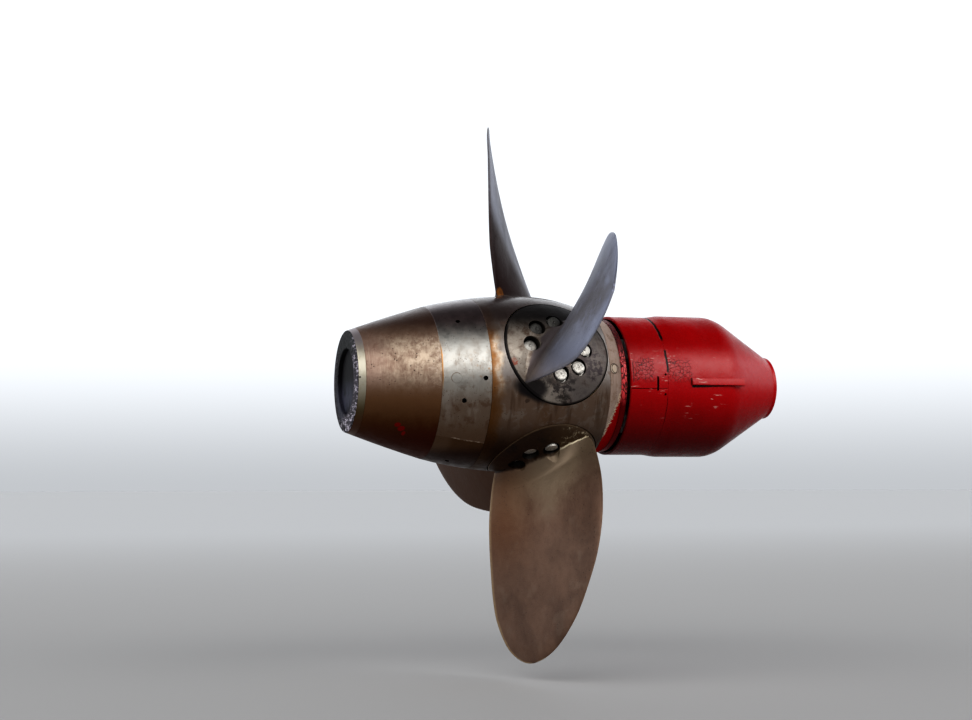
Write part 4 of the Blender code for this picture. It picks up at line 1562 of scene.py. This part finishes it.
@dataclass
class Blades:
    """Four blades with their feet and bolts, from one casting, round the hub."""

    shape: BladeShape
    hub: HubShape
    around: int = 88
    tip_merge: float = 2e-5
    bolt_merge: float = 1e-5
    blank_top: float = 0.56
    blank_sides: int = 160
    crown_aft: float = -0.42
    crown_fore: float = 0.345
    crown_steps: int = 30
    cutter_top: float = 0.66
    cutter_sides: int = 40
    bolt_sides: int = 48
    bolt_turn: float = 17.0
    set_turn: float = 9.0

    def loft(self) -> Piece:
        """Bends a grid round the blade's sections.

        Returns:
            The blade alone, closed at its root and its tip.
        """
        radii = [self.shape.lowest_radius, *self.shape.stations()]
        rows = len(radii) - 1
        bm = bmesh.new()
        bmesh.ops.create_grid(bm, x_segments=self.around, y_segments=rows, size=1.0)
        for vert in bm.verts:
            row = round((vert.co.y + 1) / 2 * rows)
            turn = math.pi * vert.co.x
            vert.co = self.shape.point(radii[row], turn, self.hub, row == 0)
        bmesh.ops.remove_doubles(bm, verts=bm.verts, dist=self.tip_merge)
        rim = [edge for edge in bm.edges if edge.is_boundary]
        bmesh.ops.holes_fill(bm, edges=rim, sides=0)
        bmesh.ops.recalc_face_normals(bm, faces=bm.faces)
        return Bench.keep("blade_loft", bm)

    def casting(self) -> Mesh:
        """Joins the blade to its round foot and cuts the counterbores.

        Returns:
            The casting's mesh, spindle up.
        """
        s = self.shape
        foot = Bench.drum("foot", s.foot_radius, s.foot_underside, self.blank_top,
                          self.blank_sides)
        skin = self.hub.skin(self.crown_aft, self.crown_fore, self.crown_steps)
        crown = Bench.spun("crown", [(self.crown_aft, 0.0), *skin, (self.crown_fore, 0.0)])
        crown.data.transform(Matrix.Translation((-SPINDLE_X, 0.0, 0.0)))
        steps = [(crown, Cut.KEEP), (self.loft(), Cut.ADD)]
        for place in self.bolt_places():
            hole = Bench.drum("counterbore", s.counterbore, s.counterbore_floor,
                              self.cutter_top, self.cutter_sides, Matrix.Translation(place))
            steps.append((hole, Cut.TAKE))
        Bench.combine(foot, steps)
        Bench.smooth(foot)
        mesh = foot.data
        bpy.data.objects.remove(foot)
        return mesh

    def bolt_places(self) -> list[Vector]:
        """Spaces out the six bolts on a foot.

        Returns:
            Their middles, spindle up.
        """
        s = self.shape
        turns = [math.radians(turn + side) for side in (0.0, 180.0) for turn in s.bolt_turns]
        return [Vector((s.bolt_circle * math.sin(turn), s.bolt_circle * math.cos(turn), 0.0))
                for turn in turns]

    def bolt(self) -> Mesh:
        """Makes a bolt's worn round head: a low dome with a centre mark, on a washer.

        Returns:
            The bolt's mesh, standing on the origin.
        """
        s = self.shape
        top = s.head_height
        turns = [math.radians(s.dome_step * i) for i in range(s.dome_steps)]
        arch = [(s.head_radius * math.cos(turn), top - s.dome + s.dome * math.sin(turn))
                for turn in turns]
        rim = s.head_radius + s.washer
        outline = [(rim, 0.0), (rim, s.washer_height), (s.head_radius, s.washer_height), *arch,
                   (s.dimple_radius, top), (0.0, top - s.dome)]
        bm = bmesh.new()
        points = [bm.verts.new((radius, 0.0, height)) for radius, height in outline]
        edges = [bm.edges.new(pair) for pair in zip(points, points[1:])]
        bmesh.ops.spin(bm, geom=points + edges, cent=(0, 0, 0), axis=(0, 0, 1),
                       angle=2 * math.pi, steps=self.bolt_sides, use_merge=True)
        bmesh.ops.remove_doubles(bm, verts=bm.verts, dist=self.bolt_merge)
        foot = [edge for edge in bm.edges if edge.is_boundary]
        bmesh.ops.holes_fill(bm, edges=foot, sides=0)
        bmesh.ops.recalc_face_normals(bm, faces=bm.faces)
        mesh = bpy.data.meshes.new("bolt")
        bm.to_mesh(mesh)
        bm.free()
        return mesh

    def build(self, finishes: list[BladeBronze], steel: Material) -> None:
        """Sets the blades and their bolts round the hub.

        Args:
            finishes: One finish for each blade.
            steel: The bolts' material.
        """
        casting = self.casting()
        bolt = self.bolt()
        for number, turn in enumerate(self.hub.turns(), start=1):
            place = from_shaft(0.0, 0.0, turn)
            mesh = casting.copy()
            mesh.transform(place)
            body = Body(f"blade_{number}_body")
            blade = Bench.show(f"blade_casting_{number}", mesh)
            Bench.dress(blade, finishes[number - 1].build(), body, Slot.BLADE, f"blade_{number}")
            Bench.dress(self.bolt_set(bolt, number, place), steel, body, Slot.FITTING)

    def bolt_set(self, bolt: Mesh, number: int, place: Matrix) -> Piece:
        """Puts six bolts into a foot's counterbores.

        Args:
            bolt: One bolt's mesh.
            number: The blade's number.
            place: Where the blade stands.

        Returns:
            The six bolts as one piece.
        """
        bm = bmesh.new()
        for index, where in enumerate(self.bolt_places()):
            before = set(bm.verts)
            bm.from_mesh(bolt)
            fresh = [vert for vert in bm.verts if vert not in before]
            spot = Matrix.Translation((where.x, where.y, self.shape.counterbore_floor))
            turn = math.radians(self.bolt_turn * index + self.set_turn * number)
            spot = spot @ Matrix.Rotation(turn, 4, "Z")
            bmesh.ops.transform(bm, matrix=place @ spot, verts=fresh)
        return Bench.smooth(Bench.keep(f"blade_bolts_{number}", bm))


@dataclass
class Hub:
    """The hub from its cone to the shaft flange."""

    shape: HubShape
    port_radius: float = 0.3435
    port_floor: float = 0.36
    pocket_radius: float = 0.243
    pocket_floor: float = 0.26
    pocket_ceiling: float = 0.378
    spigot_radius: float = 0.30
    cone_spigot: float = 0.36
    cone_spigot_length: float = 0.02
    cone_mouth: float = 0.25
    end_bore: float = 0.20
    end_plate: float = 0.025
    end_rebate: float = 0.012
    shaft_radius: float = 0.16
    shaft_end: float = 1.38
    flange_radius: float = 0.420
    hole_radius: float = 0.014
    hole_depth: float = 0.03
    plug_radius: float = 0.028
    plug_depth: float = 0.02
    plug_gap: float = 0.0022
    plug_sides: int = 40
    port_top: float = 0.57
    port_sides: int = 160
    pocket_sides: int = 64
    lifting_x: float = -0.590
    lifting_count: int = 6
    lifting_first: float = -45.0
    drain_x: float = -0.469
    band_plug_x: float = -0.638
    band_plug_angle: float = -89.5
    ring_plug_x: float = 0.394
    ring_plug_angle: float = -79.5
    ring_plug_inset: float = 0.002
    flange_edge: float = 0.004
    end_lip: float = 0.004
    end_face_back: float = 0.0006
    end_face_step: float = 0.0095
    end_face_steps: int = 11
    body_steps: int = 36
    band_steps: int = 16
    cone_steps: int = 14
    ring_steps: int = 8
    rim_steps: int = 4
    plate_sides: int = 96
    rim_ease: float = 0.001
    fine_ease: float = 0.0012
    wide_ease: float = 0.002
    front_ease: float = 0.003

    def build_body(self, material: Material) -> None:
        """Turns the hub body and cuts a port for each foot.

        Args:
            material: The hub body's finish.
        """
        h = self.shape
        skin = h.skin(h.body_aft, h.body_fore, self.body_steps)
        spigot = [(h.body_fore, self.spigot_radius), (h.ring_fore - h.seat, self.spigot_radius),
                  (h.ring_fore - h.seat, 0.0)]
        body = Bench.spun("hub_casting", [(h.body_aft, 0.0), *skin, *spigot])
        steps = []
        for turn in h.turns():
            place = from_shaft(0.0, 0.0, turn)
            port = Bench.drum("port", self.port_radius, self.port_floor, self.port_top,
                              self.port_sides, place)
            pocket = Bench.drum("pocket", self.pocket_radius, self.pocket_floor,
                                self.pocket_ceiling, self.pocket_sides, place)
            steps += [(port, Cut.TAKE), (pocket, Cut.TAKE)]
        Bench.combine(body, steps)
        Bench.dress(Bench.smooth(body), material, Body.ROTOR, Slot.HUB, "hub_body")

    @staticmethod
    def pair(x: float, angle: float) -> list[Point]:
        """Returns x and the angle in radians of two fittings on opposite sides of the hub."""
        return [(x, math.radians(angle)), (x, math.radians(angle + 180.0))]

    def holes(self, spots: list[Point], radius: float, depth: float, sides: int = 28) -> Steps:
        """Makes cutters for round holes in the hub's outside.

        Args:
            spots: The x and the angle of each hole.
            radius: Their radius.
            depth: Their depth.
            sides: How many sides they have.

        Returns:
            The cutters, ready to combine.
        """
        steps = []
        for x, angle in spots:
            place = from_shaft(x, self.shape.outside(x), angle)
            steps.append((Bench.drum("hole", radius, -depth, depth, sides, place), Cut.TAKE))
        return steps

    def build_band(self, material: Material) -> None:
        """Turns the servo cylinder with its lifting holes and plug pockets.

        Args:
            material: The band's finish.
        """
        h = self.shape
        spigot, fore = h.cone_seam - self.cone_spigot_length, h.body_aft - h.seat
        profile = [(spigot, 0.0), (spigot, self.cone_spigot), (h.cone_seam, self.cone_spigot),
                   *h.skin(h.cone_seam, fore, self.band_steps, self.fine_ease, self.wide_ease),
                   (fore, 0.0)]
        band = Bench.spun("servo_band", profile)
        count = self.lifting_count
        lifting = [(self.lifting_x, math.radians(self.lifting_first - 360.0 / count * i))
                   for i in range(count)]
        drain = self.pair(self.drain_x, self.band_plug_angle)
        plugs = self.pair(self.band_plug_x, self.band_plug_angle)
        steps = self.holes(lifting + drain, self.hole_radius, self.hole_depth)
        steps += self.holes(plugs, self.plug_radius + h.seat, self.plug_depth + h.seat,
                            self.plug_sides)
        Bench.combine(band, steps)
        Bench.dress(Bench.smooth(band), material, Body.ROTOR, Slot.BARE, "servo_cylinder")
        for i, (x, angle) in enumerate(plugs):
            plug = self.plug(f"band_plug_cap_{i + 1}", x, angle, self.plug_radius)
            Bench.dress(plug, material, Body.ROTOR, Slot.FITTING, f"band_plug_{i + 1}")

    def plug(self, name: str, x: float, angle: float, radius: float) -> Piece:
        """Makes a round plug whose face follows the hub's outside.

        Args:
            name: The piece's name.
            x: Its place along the shaft.
            angle: Its angle round the shaft.
            radius: Its radius.

        Returns:
            The plug.
        """
        place = from_shaft(x, self.shape.outside(x), angle)
        plug = Bench.drum(name, radius, -self.plug_depth, self.plug_depth, self.plug_sides, place)
        # Nine stops, a third of the radius apart, reach past the plug on both sides.
        stops = [x + radius * (i - 4) / 3 for i in range(9)]
        skin = [(stop, self.shape.outside(stop)) for stop in stops]
        crown = Bench.spun("crown", [(stops[0], 0.0), *skin, (stops[-1], 0.0)])
        return Bench.smooth(Bench.combine(plug, [(crown, Cut.KEEP)]))

    def build_cone(self, patina: Material, rim: Material, recess: Material) -> None:
        """Turns the cone, the rim at its end and the plate inside.

        Args:
            patina: The cone's finish.
            rim: The end rim's finish.
            recess: The plate's finish.
        """
        h = self.shape
        fore = h.cone_seam - h.seat
        bore = self.cone_spigot + h.seat
        shoulder = h.cone_seam - self.cone_spigot_length - h.seat
        fine, ease = self.fine_ease, self.rim_ease
        profile = [*h.skin(h.ring_end, fore, self.cone_steps, fine, fine), (fore, bore),
                   (shoulder, bore), (h.ring_end, self.cone_mouth)]
        cone = Bench.spun("cone_shell", profile, closed=True)
        Bench.dress(Bench.smooth(cone), patina, Body.ROTOR, Slot.CONE, "hub_cone")
        ring_fore = h.ring_end - h.seat
        plate_radius = self.end_bore + self.end_rebate
        plate_x = ring_fore - self.end_plate
        face = [(h.end + self.end_face_back, self.end_bore + self.end_lip + self.end_face_step * i)
                for i in range(self.end_face_steps)]
        profile = [*face, (h.end + 2 * ease, h.end_radius - ease),
                   *h.skin(h.end + 3 * ease, ring_fore, self.rim_steps, ease, ease)[1:],
                   (ring_fore, plate_radius + h.seat), (plate_x - h.seat, plate_radius + h.seat),
                   (plate_x - h.seat, self.end_bore), (h.end + self.end_lip, self.end_bore)]
        ring = Bench.spun("end_rim", profile, closed=True)
        Bench.dress(Bench.smooth(ring), rim, Body.ROTOR, Slot.BARE, "cone_end_ring")
        plate = Bench.spun("recess_plate", [(plate_x, 0.0), (plate_x, plate_radius),
                                            (ring_fore, plate_radius), (ring_fore, 0.0)],
                           self.plate_sides)
        Bench.dress(Bench.smooth(plate), recess, Body.ROTOR, Slot.RECESS, "cone_end_plate")

    def build_front(self, scraped: Material, paint: Material) -> None:
        """Turns the front ring with its plugs, and the shaft with its flange.

        Args:
            scraped: The ring's finish.
            paint: The flange's finish.
        """
        h = self.shape
        aft, fore = h.body_fore + h.seat, h.ring_fore - h.seat
        bore = self.spigot_radius + h.seat
        skin = h.skin(aft, fore, self.ring_steps, self.wide_ease, self.front_ease)
        ring = Bench.spun("front_ring", [*skin, (fore, bore), (aft, bore)], closed=True)
        plugs = self.pair(self.ring_plug_x, self.ring_plug_angle)
        Bench.combine(ring, self.holes(plugs, self.plug_radius + self.plug_gap,
                                       self.plug_depth + h.seat, self.plug_sides))
        Bench.dress(Bench.smooth(ring), scraped, Body.ROTOR, Slot.SCRAPED, "hub_front_ring")
        for i, (x, angle) in enumerate(plugs):
            plug = self.plug(f"ring_plug_cap_{i + 1}", x, angle,
                             self.plug_radius - self.ring_plug_inset)
            Bench.dress(plug, scraped, Body.ROTOR, Slot.FITTING, f"ring_plug_{i + 1}")
        edge = self.flange_edge
        profile = [(h.ring_fore, 0.0), (h.ring_fore, self.flange_radius - edge),
                   (h.ring_fore + edge, self.flange_radius),
                   (h.flange_fore - edge, self.flange_radius),
                   (h.flange_fore, self.flange_radius - edge), (h.flange_fore, self.shaft_radius),
                   (self.shaft_end, self.shaft_radius), (self.shaft_end, 0.0)]
        shaft = Bench.spun("flanged_shaft", profile)
        Bench.dress(Bench.smooth(shaft), paint, Body.ROTOR, Slot.FLANGE, "tail_shaft")


@dataclass
class Stern:
    """The stern boss with its pad, and the rope guard in two halves."""

    guard_aft: float = 0.496
    guard_fore: float = 0.745
    guard_radius: float = 0.440
    guard_wall: float = 0.016
    seat_length: float = 0.050
    boss_radius: float = 0.452
    flare: float = 0.11
    shoulder: float = 1.200
    neck: float = 1.600
    mount: float = 1.620
    neck_radius: float = 0.20
    shoulder_round: float = 0.06
    bore_end: float = 1.445
    bore: float = 0.2157
    split_tilt: float = math.radians(5.0)
    groove: float = 0.0030
    pad_start: float = 0.900
    pad_length: float = 0.36
    pad_height: float = 0.046
    pad_stand: float = 0.012
    pad_edge: float = 0.003
    pad_lean: float = math.radians(-14.0)
    pad_sunk: float = 0.001
    pad_rise: float = 0.008
    seat: float = 0.0003
    ease: float = 0.0015
    bend_steps: int = 12
    flare_steps: int = 8
    guard_edge: float = 0.005
    guard_steps: int = 120
    half_gap: float = 0.0006
    sharp: float = 1.2
    long_edge: float = 0.1
    near: float = 0.001
    slot_x: Point = (0.670, 0.683)
    slot_z: Point = (-0.050, 0.038)
    slot_depth: float = 0.012
    notch_x: Point = (0.688, 0.80)
    notch_half: float = 0.035
    clear: float = 0.03
    screw_x: float = 0.728
    screw_radius: float = 0.007
    screw_depth: float = 0.012
    screw_top: float = 0.02
    screw_sides: int = 20
    screw_heights: Point = (0.0505, -0.0727)

    def build_boss(self, material: Material) -> None:
        """Turns the boss's casting.

        Args:
            material: The paint.
        """
        seat = self.guard_radius - self.guard_wall - self.seat
        slope = (self.boss_radius - self.neck_radius) / (self.neck - self.shoulder)
        bend = []
        for i in range(self.bend_steps + 1):
            t = i / self.bend_steps
            x = self.shoulder - self.shoulder_round + 2 * self.shoulder_round * t
            bend.append((x, self.boss_radius - slope * self.shoulder_round * t * t))
        flare = []
        for i in range(self.flare_steps + 1):
            t = i / self.flare_steps
            rise = (self.boss_radius - self.guard_radius) * t * t * (3 - 2 * t)
            flare.append((self.guard_fore + self.ease + (self.flare - self.ease) * t,
                          self.guard_radius + rise))
        inner = self.guard_fore - self.seat_length
        profile = [(self.bore_end, 0.0), (self.bore_end, self.bore), (inner, self.bore),
                   (inner, seat), (self.guard_fore, seat),
                   (self.guard_fore, self.guard_radius - self.ease), *flare, *bend,
                   (self.neck, self.neck_radius), (self.mount, self.neck_radius),
                   (self.mount, 0.0)]
        boss = Bench.spun("boss_shell", profile)
        Bench.dress(Bench.smooth(boss), material, Body.STERN, Slot.BOSS, "stern_boss")

    def build_pad(self, material: Material) -> None:
        """Sets the bar on the boss's side.

        Args:
            material: The paint.
        """
        low = Vector((0.0, -self.pad_stand, -self.pad_height / 2))
        high = Vector((self.pad_length, self.pad_stand, self.pad_height / 2))
        pad = Bench.block("side_bar", low, high, self.pad_edge)
        lean = Matrix.Rotation(self.pad_lean, 4, "X")
        place = Matrix.Translation((SPINDLE_X + self.pad_start, -self.boss_radius + self.pad_sunk,
                                    self.pad_rise))
        pad.data.transform(place @ lean)
        Bench.dress(Bench.smooth(pad), material, Body.STERN, Slot.BOSS, "boss_pad")

    def build_guard(self, material: Material) -> None:
        """Bends the two halves of the rope guard, with the slot and holes at their joint.

        Args:
            material: The paint.
        """
        outer, inner = self.guard_radius, self.guard_radius - self.guard_wall
        aft, fore, edge = self.guard_aft, self.guard_fore - self.seat, self.guard_edge
        profile = [(aft, outer - edge), (aft + edge, outer), (fore - self.ease, outer),
                   (fore, outer - self.ease), (fore, inner), (aft, inner)]
        quarter = math.pi / 2
        for name, start, upper, node in (
                ("guard_upper_half", -quarter, True, "rope_guard_upper"),
                ("guard_lower_half", quarter, False, "rope_guard_lower")):
            half = Bench.spun(name, profile, self.guard_steps, True, math.pi - 2 * self.half_gap,
                              start + self.half_gap + self.split_tilt)
            self.ease_joint(half)
            Bench.combine(half, self.joint_cutters(upper))
            Bench.dress(Bench.smooth(half), material, Body.STERN, Slot.BOSS, node)

    def ease_joint(self, half: Piece) -> None:
        """Eases the long outer edges where the halves meet.

        Args:
            half: One half of the guard.
        """
        bm = bmesh.new()
        bm.from_mesh(half.data)
        long_edges = []
        for edge in bm.edges:
            low, high = (vert.co for vert in edge.verts)
            corner = len(edge.link_faces) == 2 and edge.calc_face_angle(0.0) > self.sharp
            outer = low.yz.length > self.guard_radius - self.near
            if corner and outer and abs(low.x - high.x) > self.long_edge:
                long_edges.append(edge)
        bmesh.ops.bevel(bm, geom=long_edges, offset=self.groove, affect="EDGES", segments=1,
                        profile=0.5, material=-1)
        bm.to_mesh(half.data)
        bm.free()

    def joint_cutters(self, upper: bool) -> Steps:
        """Makes the cutters for the slot, the screw hole and the notch on top.

        Args:
            upper: Whether they are for the upper half.

        Returns:
            The cutters, ready to combine.
        """
        radius = self.guard_radius
        steps = []
        (aft, fore), (low, high) = self.slot_x, self.slot_z
        slot = Bench.block("slot", Vector((SPINDLE_X + aft, -radius - self.clear, low)),
                           Vector((SPINDLE_X + fore, -radius + self.slot_depth, high)))
        steps.append((slot, Cut.TAKE))
        if upper:
            (aft, fore), half = self.notch_x, self.notch_half
            notch = Bench.block("notch", Vector((SPINDLE_X + aft, -half, radius - self.clear)),
                                Vector((SPINDLE_X + fore, half, radius + self.clear)))
            steps.append((notch, Cut.TAKE))
        height = self.screw_heights[0 if upper else 1]
        angle = -math.pi / 2 + math.asin(height / radius)
        place = from_shaft(self.screw_x, radius, angle)
        screw = Bench.drum("screw_hole", self.screw_radius, -self.screw_depth, self.screw_top,
                           self.screw_sides, place)
        steps.append((screw, Cut.TAKE))
        return steps


@dataclass
class Studio:
    """The floor, the soft lights and the camera."""

    floor_z: float = -1.80
    focal: float = 1712.60
    image_width: float = 972.0
    sensor: float = 36.0
    reach: float = 200.0
    yaw: float = 0.320591
    pitch: float = 0.0684025
    roll: float = -0.00193993
    stand: tuple = (-5.27253, -10.10956, -0.58125)
    band_light: float = 1.9
    back_light: float = 0.78
    fill_light: float = 0.03
    ahead: Point = (-0.30, -0.95)
    back_tone: Colour = (0.93, 0.96, 1.0)
    band_tone: Colour = (1.0, 0.985, 0.96)
    floor_radius: float = 150.0
    floor_sides: int = 96

    def build_camera(self) -> None:
        """Sets the camera where the photograph was taken from."""
        data = bpy.data.cameras.new("photo_camera")
        data.sensor_width = self.sensor
        data.lens = self.focal * self.sensor / self.image_width
        data.clip_end = self.reach
        camera = bpy.data.objects.new("photo_camera", data)
        cos_yaw, sin_yaw = math.cos(self.yaw), math.sin(self.yaw)
        ahead = Vector((sin_yaw * math.cos(self.pitch), cos_yaw * math.cos(self.pitch),
                        math.sin(self.pitch)))
        right = Vector((cos_yaw, -sin_yaw, 0.0))
        up = right.cross(ahead)
        cos_roll, sin_roll = math.cos(self.roll), math.sin(self.roll)
        rolled_right = cos_roll * right + sin_roll * up
        rolled_up = cos_roll * up - sin_roll * right
        rows = Matrix((rolled_right, rolled_up, -ahead)).transposed()
        camera.matrix_world = Matrix.Translation(self.stand) @ rows.to_4x4()
        bpy.context.scene.collection.objects.link(camera)
        bpy.context.scene.camera = camera

    def build_floor(self, material: Material) -> None:
        """Lays a wide round floor.

        Args:
            material: The floor's finish.
        """
        bm = bmesh.new()
        bmesh.ops.create_circle(bm, cap_ends=True, segments=self.floor_sides,
                                radius=self.floor_radius)
        bmesh.ops.translate(bm, verts=bm.verts, vec=(0.0, 0.0, self.floor_z))
        floor = Bench.keep("studio_floor", bm)
        floor.data.materials.append(material)

    def build_sky(self) -> None:
        """Makes a plain sky: one broad soft band of light behind the camera, pale opposite it."""
        world = bpy.data.worlds.new("studio_sky")
        bpy.context.scene.world = world
        world.use_nodes = True
        g = Graph(world.node_tree)
        x, y, z = g.split(g.add("ShaderNodeTexCoord").outputs["Generated"])
        ahead = g.plus(g.times(x, self.ahead[0]), g.times(y, self.ahead[1]))
        band = g.times(g.fade(ahead, -0.15, 0.35), g.fade(z, 0.08, 0.42), g.fade(z, 0.92, 0.62))
        back = g.times(g.fade(ahead, 0.25, -0.10), g.fade(z, -0.01, 0.09, 0.55, 1.0),
                       g.fade(z, 0.92, 0.50))
        tone = g.plus(g.times(band, self.band_light), self.fill_light)
        tone = g.plus(tone, g.times(back, self.back_light))
        background = g.add("ShaderNodeBackground")
        tint = g.blend(g.fade(ahead, -0.2, 0.3), self.back_tone, self.band_tone)
        g.feed(background.inputs["Color"], tint)
        g.feed(background.inputs["Strength"], tone)
        output = g.add("ShaderNodeOutputWorld")
        g.feed(output.inputs[0], background.outputs[0])

    def build(self, floor: Material) -> None:
        """Sets up the whole studio.

        Args:
            floor: The floor's finish.
        """
        self.build_camera()
        self.build_floor(floor)
        self.build_sky()
        scene = bpy.context.scene
        scene.view_settings.view_transform = "Standard"
        scene.view_settings.look = "High Contrast"


def blade_finishes() -> list[BladeBronze]:
    """Chooses the tones of the four blades.

    Returns:
        Their finishes, in the order of their numbers.
    """
    brown, black_brown, near_black = (0.108, 0.062, 0.042), (0.035, 0.015, 0.006), (0.012, 0.005, 0.003)
    # On the near blade's foot the fifth mark is a painted shadow under the blade; the others are
    # stains.
    foot_stains_and_shadow = (((-0.293, -0.110), (0.022, 0.032), (0.36, 0.085, 0.050)),
                   ((-0.270, -0.050), (0.034, 0.030), (0.54, 0.49, 0.43)),
                   ((-0.20, 0.10), (0.030, 0.040), (0.13, 0.075, 0.045)),
                   ((0.009, -0.302), (0.060, 0.036), (0.018, 0.013, 0.011)),
                   ((-0.035, -0.195), (0.150, 0.080), (0.050, 0.041, 0.042)),
                   ((0.190, -0.060), (0.100, 0.120), (0.060, 0.046, 0.052)))
    return [
        BladeBronze("blade_up_bronze", math.radians(22.5), face=(0.145, 0.145, 0.18),
                    stain=(0.090, 0.086, 0.105), root=(0.15, 0.14, 0.165),
                    foot=(0.10, 0.08, 0.07), foot_stain=(0.04, 0.025, 0.02),
                    edge=(0.07, 0.055, 0.055), seed=3.0, light=(0.26, 0.27, 0.335),
                    dark=(0.024, 0.010, 0.008), halo=0.6, patch=0.35, root_rust=0.75,
                    shadow=0.97),
        # The far and lower blades are darker and browner: their own patina and painted shade.
        BladeBronze("blade_far_bronze", math.radians(112.5), face=(0.094, 0.043, 0.023),
                    stain=brown, root=(0.094, 0.043, 0.022), foot=black_brown, foot_stain=near_black,
                    edge=(0.18, 0.10, 0.055), seed=11.0, light=(0.105, 0.058, 0.033), patch=0.3),
        BladeBronze("blade_down_bronze", math.radians(202.5), face=(0.165, 0.098, 0.066),
                    stain=brown, root=(0.222, 0.172, 0.120), foot=black_brown, foot_stain=near_black,
                    edge=(0.34, 0.24, 0.14), seed=23.0, light=(0.22, 0.165, 0.125),
                    foot_fore_tone_and_shade=(0.11, 0.068, 0.036), fore_share=0.85,
                    foot_rim_line_and_highlight=(0.130, 0.085, 0.048), patch=0.2, warm=0.6, lip=0.85, cover=0.3,
                    metal=0.35),
        BladeBronze("blade_near_bronze", math.radians(-67.5), face=(0.165, 0.172, 0.225),
                    stain=(0.115, 0.106, 0.120), root=(0.150, 0.122, 0.120),
                    foot=(0.40, 0.355, 0.31), foot_stain=(0.15, 0.105, 0.08),
                    edge=(0.16, 0.16, 0.19), seed=37.0, light=(0.275, 0.30, 0.41),
                    foot_fore_tone_and_shade=(0.086, 0.072, 0.074), fore_share=0.85, foot_shade=0.97,
                    stains_and_shadows=foot_stains_and_shadow, near_black=(((-0.165, -0.260), (0.095, 0.070)),),
                    crescent=0.95, halo=0.6, patch=0.35, cover=0.3),
    ]


def main() -> None:
    """Builds every sub-assembly and reports it."""
    logging.basicConfig(level=logging.INFO, format="%(name)s: %(message)s")
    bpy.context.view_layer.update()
    studio = Studio()
    studio.build(FloorPaint().build())

    paint = BossPaint().build()
    stern = Stern()
    stern.build_boss(paint)
    stern.build_pad(paint)
    stern.build_guard(paint)

    steel = FittingSteel("fitting_steel").build()
    bolt_steel = FittingSteel("bolt_steel", (0.72, 0.70, 0.66), shaded_above=0.17).build()
    bearing = FittingSteel("bearing_bronze", (0.42, 0.30, 0.14), (0.10, 0.07, 0.03)).build()
    shape = HubShape()
    hub = Hub(shape)
    hub.build_front(ScrapedRing().build(), FlangePaint().build())
    hub.build_body(HubPatina().build())
    hub.build_band(BandMetal().build())
    hub.build_cone(ConePatina().build(), EndMetal().build(), RecessMetal().build())

    Blades(BladeShape(), shape).build(blade_finishes(), bolt_steel)
    for node in ("stern_bush", "shaft_liner", *(f"blade_bearing_{n}" for n in range(1, 5))):
        Bench.repaint(node, bearing)
    for node in ("seal_housing", *(f"crank_ring_{n}" for n in range(1, 5))):
        Bench.repaint(node, steel)


if __name__ == "__main__":
    main()
